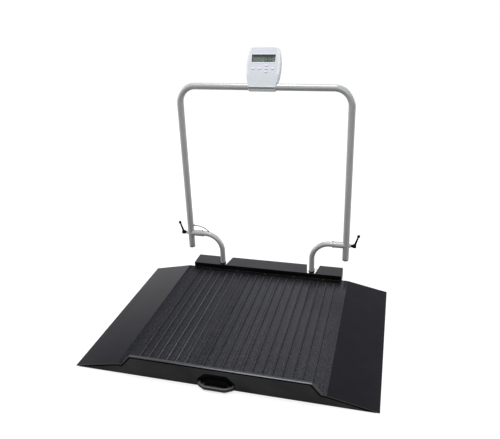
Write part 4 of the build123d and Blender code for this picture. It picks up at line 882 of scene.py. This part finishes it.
# Rear tray and cover. The tray is a low channel behind the deck. The cover is one bent sheet with
# a foot on the deck and notches round the posts, screwed down along its foot.
# Painted light: the cover's upper faces get a lighter colour and a sheen, and its bends a highlight
cover_coat = surface(
    "cover_powder_coat", (0.0015, 0.0015, 0.0018), (0.0030, 0.0030, 0.0035), 0.42, specular=0.08,
    depth=0.00008, flecks=((0.01, 0.01, 0.011), 0.2), edges=((0.22, 0.22, 0.24), 0.8, 0.0014), dust=0.01,
    painted_top_sheen=(0.45, 0.35, (0.010, 0.010, 0.014), 0.05))
softened("rear_tray_channel", "rear_tray", "platform", skirt_coat, 0.0006)
softened("rear_cover_sheet", "rear_cover", "platform", cover_coat, 0.0006)


# Cover screws. Five pan-head screws of blackened steel, each with a cross recess. They stand in a
# row along the cover's foot.
screw_y = rear_y - 0.017
screw_top = deck_top + 0.002
screw_pitch = 0.1415
head_radius = 0.0045
head_height = 0.0022


def pan_head(centre, radius, height, arm=0.00075, reach=0.0026, sink=0.0013, sides=32):
    """Rings of a pan head seen from above: the height is a flattened dome over the radius, less
    the sink where the point lies inside a cross of two bars."""
    radii = radius * np.array([1.0, 1.0, 0.97, 0.88, 0.72, 0.6, 0.5, 0.4, 0.3, 0.2, 0.12])
    dome = height * np.array([0.0, 0.35, 0.62, 0.85, 0.96, 0.98, 0.99, 1.0, 1.0, 1.0, 1.0])
    ring = circle(1.0, sides)
    x, y = radii[:, None] * ring[None, :, 0], radii[:, None] * ring[None, :, 1]
    crossed = ((np.abs(x) < arm) | (np.abs(y) < arm)) & (np.hypot(x, y) < reach)
    z = dome[:, None] - np.where(crossed, sink, 0.0)
    return np.array(centre) + np.stack([x, y, z], axis=-1)


black_steel = surface(
    "blackened_steel", 0.010, (0.018, 0.017, 0.016), 0.42, specular=0.3, cloud_size=90.0, grain=1800.0,
    depth=0.00003, edges=((0.10, 0.095, 0.09), 0.4, 0.0004))
piece("cover_screw_heads", [
    tube(pan_head((number * screw_pitch, screw_y, screw_top), head_radius, head_height))
    for number in range(-2, 3)
], "platform", black_steel, ("cover_screws",))


# Transport wheels. Moulded grey wheels with a crowned tread, a sunk web and a hub, on plain axles
# in steel forks at the ends of the tray.
wheel_x = 0.312
wheel_y = rear_y + 0.0675
wheel_z = 0.032
wheel_grey = surface(
    "wheel_moulding", (0.11, 0.11, 0.112), (0.15, 0.15, 0.152), 0.5, edges=(0.3, 0.4, 0.0010))
half_wheel = mm(
    (-4, 5.1), (-11.8, 5.1), (-12, 6), (-12, 8.6), (-11.5, 9.5), (-4.5, 10), (-4, 11.2), (-4, 18.8),
    (-4.8, 19.9), (-11.3, 20.4), (-12, 21.2), (-12, 26.2), (-11.2, 28.3), (-9, 29.6), (-4.5, 30))
wheel_profile = np.concatenate([half_wheel, half_wheel[::-1] * (-1, 1)])
for side, name in ((-1, "left"), (1, "right")):
    rings = turned(wheel_profile, (side * wheel_x, wheel_y, wheel_z), (1, 0, 0), 56)
    piece(f"{name}_wheel_moulding", [tube(rings, looped=True)], f"wheel_{name}", wheel_grey,
          (f"{name}_wheel",))
softened("wheel_fork_plates", "wheel_forks", "platform", zinc, 0.0004)
recoat("wheel_axles", zinc)


# Posts. Bent tubes that stand on bolted sockets inside the cover and turn outwards into the
# handrail's sleeves. Tube and sleeves are coated a satin silver grey.
post_x = 0.224
post_foot_z = 0.0095
post_radius = 0.0125
post_bend = 0.084
pivot_z = 0.2225
post_end_x = 0.3666
rail_coat = surface(
    "silver_powder_coat", (0.39, 0.395, 0.40), (0.44, 0.445, 0.45), 0.36, spread=0.04, metallic=0.15,
    cloud_size=6.0, grain=1200.0, depth=0.00005, flecks=((0.62, 0.625, 0.63), 0.3),
    edges=(0.6, 0.4, 0.0008), sheen=0.8)
coated(rail_coat, 0.8, 0.25)


def arc(x, z, radius, first, last, steps=20):
    """Points of an arc in the plane of the handrail, from one angle in degrees to another."""
    turn = np.radians(np.linspace(first, last, steps))
    return np.column_stack([x + radius * np.cos(turn), np.full(steps, rail_y), z + radius * np.sin(turn)])


for side, name in ((-1, "left"), (1, "right")):
    line = np.concatenate([
        [(post_x, rail_y, post_foot_z), (post_x, rail_y, 0.100)],
        arc(post_x + post_bend, pivot_z - post_bend, post_bend, 180.0, 90.0),
        [(post_end_x, rail_y, pivot_z)]])
    line[:, 0] *= side
    piece(f"{name}_post_tube", [tube(carried(line, circle(post_radius, 48), TOWARDS_BACK))], "platform",
          rail_coat, (f"{name}_post",))
softened("post_socket_plates", "post_sockets", "platform", zinc, 0.0004)
softened("socket_bolt_heads", "socket_bolts", "platform", zinc, 0.0004)
recoat("clamp_nuts", zinc)


# Stop pins. A dark steel dowel goes up through the end of each post and stands out above and below
# it, where the notches of the sleeve run against it.
pin_x = 0.3222
half_pin = mm((-18, 1.7), (-17.6, 2.2), (-17.1, 2.5))
pin_profile = np.concatenate([half_pin, half_pin[::-1] * (-1, 1)])
pin_steel = surface(
    "pin_steel", 0.010, 0.020, 0.5, specular=0.15, cloud_size=90.0, grain=1800.0, depth=0.00002)
piece("stop_pin_dowels", [
    tube(turned(pin_profile, (side * pin_x, rail_y, pivot_z), (0, 0, 1), 24)) for side in (-1, 1)
], "platform", pin_steel, ("stop_pins",))


# Post collars. Black moulded rings that close the gap where each post comes up behind the cover.
collar_profile = mm(
    (63, 12.52), (63, 14.3), (68, 14.3), (68.7, 15), (70.5, 15.2), (71.6, 14.7), (72, 13.8), (71.8, 12.8),
    (71.3, 12.52))
piece("post_collar_rings", [
    tube(turned(collar_profile, (side * post_x, rail_y, 0.0), (0, 0, 1), 44), looped=True) for side in (-1, 1)
], "platform", black_plastic, ("post_collars",))


# Handrail. One tube bent into a tall arch that stands beside the deck, with short sleeves welded to
# its legs. A thin weld runs round each joint.
rail_half = 0.383
rail_top = 0.946
rail_radius = 0.015
rail_bend = 0.075
rail_foot = 0.152
rail_middle = 0.500
arch = np.concatenate([
    [(-rail_half, rail_y, rail_foot), (-rail_half, rail_y, rail_middle)],
    arc(-rail_half + rail_bend, rail_top - rail_bend, rail_bend, 180.0, 90.0),
    arc(rail_half - rail_bend, rail_top - rail_bend, rail_bend, 90.0, 0.0),
    [(rail_half, rail_y, rail_middle), (rail_half, rail_y, rail_foot)],
])
piece("handrail_tube", [tube(carried(arch, circle(rail_radius, 56), TOWARDS_BACK))], "rail", rail_coat,
      ("handrail",))
softened("pivot_sleeve_tubes", "pivot_sleeves", "rail", rail_coat, 0.0004)


# Leg plugs. Grey caps pushed into the open feet of the handrail. A groove parts them from the
# tube, and their lower rim is rounded.
plug_grey = surface(
    "plug_grey", (0.20, 0.203, 0.206), (0.25, 0.253, 0.256), 0.45, cloud_size=40.0, grain=1300.0)
plug_profile = mm(
    (0, 12), (-1.2, 12), (-1.4, 14.6), (-1.8, 15), (-4, 15), (-6, 14.5), (-7.4, 13.2), (-8.2, 11.2),
    (-8.5, 8), (-8.5, 3))
piece("leg_plug_caps", [
    tube(turned(plug_profile, (side * rail_half, rail_y, rail_foot), (0, 0, 1), 40)) for side in (-1, 1)
], "rail", plug_grey, ("leg_plugs",))


# Thrust washers. Turned cream nylon spacers between each leg and its clamp lever, hollowed to sit
# on the round tube.
washer_profile = mm((394, 6), (394, 8.5), (404.4, 8.5), (405.6, 8), (406, 7.2), (406, 4.5))
cream_nylon = surface(
    "cream_nylon", (0.56, 0.55, 0.51), (0.64, 0.63, 0.59), 0.42, cloud_size=40.0,
    grain=(300.0, 2200.0, 2200.0), depth=0.00003)
piece("thrust_washer_spacers", [
    tube(turned(washer_profile, (0.0, rail_y, pivot_z), (side, 0, 0), 36)) for side in (-1, 1)
], "rail", cream_nylon, ("thrust_washers",))


# Clamp levers. Black moulded levers: a hub with a neck and a cap, and an arm that leans outwards
# and ends in a ball. Each lifts off a splined steel stud to be set at a new angle.
hub_start = 0.4063
hub_middle = hub_start + 0.01525
lever_rise = 0.0515
lever_lean = 0.017
ball_radius = 0.00725
arm_thin = 0.0042
hub_profile = mm(
    (0, 4.8), (0, 6.1), (0.4, 6.5), (6.2, 6.5), (7, 7), (7.3, 8.2), (8, 9.1), (9.2, 9.5), (21.2, 9.5),
    (22.5, 9.2), (23.3, 8.4), (23.5, 7.2), (23.1, 6), (23, 5.6), (22.6, 5.4), (22.6, 2))
arm_length = math.hypot(lever_rise, lever_lean)
ball_turn = np.linspace(math.asin(arm_thin / ball_radius), np.pi - 0.12, 14)
arm_profile = np.concatenate([
    [(0.0, 0.0054), (0.2 * arm_length, 0.0051), (0.5 * arm_length, 0.0046), (0.75 * arm_length, arm_thin)],
    np.column_stack([arm_length - ball_radius * np.cos(ball_turn), ball_radius * np.sin(ball_turn)])])
for side, name in ((-1, "left"), (1, "right")):
    piece(f"{name}_lever_moulding", [
        tube(turned(hub_profile, (side * hub_start, rail_y, pivot_z), (side, 0, 0), 44)),
        tube(turned(
            arm_profile, (side * hub_middle, rail_y, pivot_z), (side * lever_lean, 0, lever_rise), 32)),
    ], f"{name}_grip", black_plastic, (f"{name}_lever",))
    recoat(f"{name}_clamp_stud", zinc)


# Display housing. Two moulded shells of blue-white plastic that close round the rail's top tube.
# The front face carries a smooth label area down to a crease, and a plain panel below it.
tilt = math.radians(26.0)
face_up = np.array((0.0, math.sin(tilt), math.cos(tilt)))
face_out = np.array((0.0, -math.cos(tilt), math.sin(tilt)))
face_across = np.array((1.0, 0.0, 0.0))
face_origin = np.array((0.0, rail_y, rail_top))
case_white = surface(
    "case_white", (0.66, 0.685, 0.75), (0.69, 0.712, 0.775), 0.42, cloud_size=9.0, grain=1100.0,
    depth=0.00003, edges=((0.8, 0.82, 0.86), 0.5, 0.0008))
face_white = surface(
    "face_white", (0.76, 0.775, 0.80), (0.80, 0.812, 0.835), 0.36, cloud_size=9.0, grain=1100.0,
    depth=0.00002, edges=((0.88, 0.89, 0.92), 0.6, 0.0008))
label_lavender = (0.66, 0.675, 0.755)
panel_pale_green = (0.66, 0.71, 0.735)
label_inset = 0.0075
label_share = 0.9
widest_v, widest_half = 0.085, 0.074
taper_down, taper_up = 15.5 / 90.5, 13.5 / 82.0

# Height up the display's face, and how far inside the outline a point lies: the outline's half
# width falls from its widest place in a straight line both ways
tree = face_white.node_tree
climb = node(tree, "ShaderNodeVectorMath", {0: place_of(tree), 1: tuple(face_up)}, operation="DOT_PRODUCT")
up_face = Number(tree, climb.outputs["Value"]) - float(face_origin @ face_up)
over_widest = up_face - widest_v
narrowed = (over_widest * taper_up).larger(over_widest * -taper_down)
from_edge = widest_half - (abs(parts_of(tree)[0]) + narrowed)
label = from_edge.rise(label_inset - 0.0004, label_inset + 0.0004) * up_face.strip(0.0492, 0.1628)
panel = up_face.rise(0.0496, 0.0484)
repainted(face_white, (label_lavender, label, label_share), (panel_pale_green, panel, label_share))
softened("display_front", "display_front_shell", "display", face_white, 0.0004, 2, 40.0)
softened("display_back", "display_rear_shell", "display", case_white, 0.0004, 2, 40.0)
recoat("display_screws", zinc)
recoat("display_board", board_lacquer)


# Window surround. A raised bezel moulded round the display window, brighter than the face, which
# slopes in to the window.
window_half = 52.0
window_tall = 16.5
window_v = 117.0
bezel_white = surface(
    "bezel_white", (0.76, 0.775, 0.84), (0.79, 0.80, 0.86), 0.32, grain=1100.0, depth=0.00002)
bezel_levels = (
    (4.2, 19.6), (4.1, 20.1), (3.7, 20.5), (3.0, 20.6), (1.4, 20.5), (0.6, 20.1), (0.0, 19.4), (-0.1, 17.2),
    (0.3, 17.2))


def on_face(u, v, n):
    """Row places of points given on the display: u across, v up the face and n out of it, in mm."""
    u, v, n = np.broadcast_arrays(np.asarray(u, float), np.asarray(v, float), np.asarray(n, float))
    away = u[..., None] * face_across + v[..., None] * face_up + n[..., None] * face_out
    return face_origin + 0.001 * away


bezel_rings = []
for outside, n in bezel_levels:
    loop = rounded_loop(window_half + outside, window_tall + outside, 1.0 + outside)
    bezel_rings.append(on_face(loop[:, 0], window_v + loop[:, 1], n))
piece("window_bezel", [tube(np.stack(bezel_rings), looped=True)], "display", bezel_white)


# Display module. A grey-green reflective panel set back behind a black mask, which is deeper along
# the top, with plain digits that show nought.
lcd_green = surface(
    "lcd_grey_green", (0.098, 0.150, 0.120), (0.110, 0.165, 0.130), 0.45, specular=0.12, cloud_size=30.0,
    grain=(2500.0, 60.0, 60.0), depth=0.00001)
lcd_ink = surface(
    "lcd_ink", (0.008, 0.014, 0.014), (0.012, 0.018, 0.018), 0.4, specular=0.12, cloud_size=60.0,
    depth=0.00001)
mask_black = surface(
    "mask_black", (0.004, 0.004, 0.006), (0.007, 0.007, 0.009), 0.4, specular=0.1, cloud_size=60.0,
    depth=0.00001)
panel_back, panel_face, mask_face = 10.0, 14.6, 16.9
mask_left, mask_right, mask_top, mask_bottom = 2.4, 1.0, 7.4, 0.6
mask_tuck = 0.05
digit_width, digit_tall, stroke, lean = 10.6, 20.2, 4.2, 0.08
point_u, point_size = 18.2, 2.4


def stood(loop, levels, u=0.0, v=0.0):
    """A closed skin on the display: a loop round (u, v), drawn in to a share of itself at each n."""
    loop = np.asarray(loop)
    return tube(np.stack([on_face(u + loop[:, 0] * share, v + loop[:, 1] * share, n) for share, n in levels]))


def bar_on_face(u0, u1, v0, v1, n0, n1):
    """A closed flat bar on the display between two places in u, v and n."""
    return stood([(u0, v0), (u1, v0), (u1, v1), (u0, v1)], ((1.0, n0), (1.0, n1)))


panel_loop = rounded_loop(window_half + 2.0, window_tall + 2.0, 0.6)
panel_levels = ((0.5, panel_back), (1.0, panel_back), (1.0, panel_face), (0.5, panel_face))
piece("lcd_cell", [stood(panel_loop, panel_levels, 0.0, window_v)], "display", lcd_green,
      ("lcd_panel",))

low_v, high_v = window_v - window_tall, window_v + window_tall
clear_low, clear_high = low_v + mask_bottom, high_v - mask_top
mask_half = window_half + mask_tuck
mask_bars = (
    (-mask_half, mask_half, clear_high, high_v + mask_tuck),
    (-mask_half, mask_half, low_v - mask_tuck, clear_low),
    (-mask_half, mask_left - window_half, clear_low, clear_high),
    (window_half - mask_right, mask_half, clear_low, clear_high),
)
piece("window_mask", [bar_on_face(*bar, panel_face, mask_face) for bar in mask_bars],
      "display", mask_black)
digit_low = clear_low + 2.3
ink_levels = (panel_face - 0.05, panel_face + 0.12)


def segment(u0, v0, u1, v1):
    """One bar of a digit: a long hexagon between two places, pointed at both ends."""
    start, end = np.array((u0, v0)), np.array((u1, v1))
    onward = (end - start) / np.linalg.norm(end - start)
    aside = np.array((-onward[1], onward[0])) * stroke / 2
    nose = onward * stroke / 2
    start, end = start + onward * 0.25, end - onward * 0.25
    ring = np.array([
        start, start + nose - aside, end - nose - aside, end, end - nose + aside, start + nose + aside])
    ring[:, 0] += lean * (ring[:, 1] - digit_low)
    return stood(ring, [(1.0, n) for n in ink_levels])


def nought(left):
    """The six outer bars of a digit that reads nought."""
    right, middle, top = left + digit_width, digit_low + digit_tall / 2, digit_low + digit_tall
    return [
        segment(left, digit_low, right, digit_low), segment(left, top, right, top),
        segment(left, digit_low, left, middle), segment(left, middle, left, top),
        segment(right, digit_low, right, middle), segment(right, middle, right, top),
    ]


point = bar_on_face(
    point_u, point_u + point_size, digit_low - point_size / 2, digit_low + point_size / 2, *ink_levels)
piece("lcd_digits", nought(4.4) + nought(22.6) + [point], "display", lcd_ink)


# Display window. A clear pane that drops into the bezel, with a small chamfer round its outer
# edge. It hardly tints the module behind it.
glass = surface(
    "clear_pane", (0.70, 0.74, 0.74), (0.78, 0.80, 0.80), 0.12, spread=0.02, specular=0.15,
    cloud_size=20.0, depth=0.0)
glass.node_tree.nodes["Principled BSDF"].inputs["Alpha"].default_value = 0.04
pane_loop = rounded_loop(window_half - 0.15, window_tall - 0.15, 0.9)
pane_levels = ((0.5, 17.0), (0.995, 17.0), (1.0, 17.2), (1.0, 18.3), (0.99, 18.5), (0.5, 18.5))
piece("display_pane", [stood(pane_loop, pane_levels, 0.0, window_v)], "display", glass,
      ("display_lens",))


# Keys. Six pill-shaped caps with a soft dome, moulded a shade whiter than the face, each with a
# small plain mark printed on it and a painted shadow on the face below it.
key_row, key_pitch, key_step = 73.0, 28.4, 13.5
key_half, key_radius = 7.25, 3.25
shade_drop = 1.7
key_white = surface("key_white", (0.78, 0.79, 0.85), (0.80, 0.81, 0.87), 0.40, grain=1400.0, depth=0.00001)
key_print = surface("key_print", (0.22, 0.34, 0.40), (0.26, 0.38, 0.44), 0.4, grain=1400.0, depth=0.00001)
key_shadow_paint = surface("key_shadow_paint", (0.42, 0.435, 0.52), (0.46, 0.475, 0.56), 0.5, grain=1400.0, depth=0.00001)
pill = rounded_loop(key_half, key_radius, key_radius, 9)
shade = rounded_loop(key_half + 0.3, key_radius + 0.9, key_radius + 0.3, 9)
key_levels = (
    (1.0, 15.0), (1.0, 20.4), (0.985, 20.9), (0.94, 21.15), (0.86, 21.25), (0.7, 21.38), (0.45, 21.5),
    (0.2, 21.55))


def box(half_u, low, high):
    """Corners of an upright rectangle round u of nought."""
    return (-half_u, low), (half_u, low), (half_u, high), (-half_u, high)


keys = {
    "unit": (-1.5, 0, (box(2.2, 0.2, 0.9), box(2.2, -0.9, -0.2))),
    "hold": (-0.5, 0, (box(1.1, -1.1, 1.1),)),
    "up": (0.5, 1, (((-1.6, -1.0), (1.6, -1.0), (0.0, 1.4)),)),
    "enter": (0.5, 0, (box(2.4, -0.4, 0.4),)),
    "down": (0.5, -1, (((-1.6, 1.0), (1.6, 1.0), (0.0, -1.4)),)),
    "zero": (1.5, 0, (((-1.2, 0.0), (0.0, -1.2), (1.2, 0.0), (0.0, 1.2)),)),
}
shades = []
for name, (across, above, marks) in keys.items():
    key_u, key_v = across * key_pitch, key_row + above * key_step
    piece(f"key_{name}_cap", [stood(pill, key_levels, key_u, key_v)], f"key_{name}", key_white,
          (f"button_{name}",))
    piece(f"key_{name}_mark", [stood(mark, ((1.0, 21.2), (1.0, 21.6)), key_u, key_v) for mark in marks],
          f"key_{name}", key_print)
    # Painted shadow: a darker pill on the face just below each key
    shades.append(stood(shade, ((1.0, 19.9), (1.0, 20.06)), key_u, key_v - shade_drop))
piece("key_painted_shadows", shades, "display", key_shadow_paint)


# Display bracket. A pale grey half trough under the rail's top tube, screwed up into the housing,
# with a dark strip of painted shade where it meets the shells.
bracket_grey = surface(
    "bracket_grey", (0.86, 0.875, 0.90), (0.90, 0.915, 0.94), 0.4, specular=0.6, depth=0.00003,
    edges=((0.7, 0.7, 0.72), 0.5, 0.0008))
softened("bracket_trough", "display_bracket", "display", bracket_grey, 0.0006)
# Painted shade: a dark strip on the trough just under the housing's lower lip
bracket_shade_grey = surface("bracket_shade_grey", (0.22, 0.23, 0.245), (0.25, 0.262, 0.275), 0.5, specular=0.3)
strip_half = 57.5
strip_turn = np.radians(np.linspace(-16.5, -38.0, 8))
strip_inner, strip_outer = 19.9, 20.45
arc_points = np.column_stack([np.sin(strip_turn), np.cos(strip_turn)])
strip_arc = np.concatenate([strip_outer * arc_points, strip_inner * arc_points[::-1]])
piece("bracket_painted_shade", [tube(np.stack([
    on_face(u, strip_arc[:, 0], strip_arc[:, 1]) for u in (-strip_half, strip_half)
]))], "display", bracket_shade_grey)
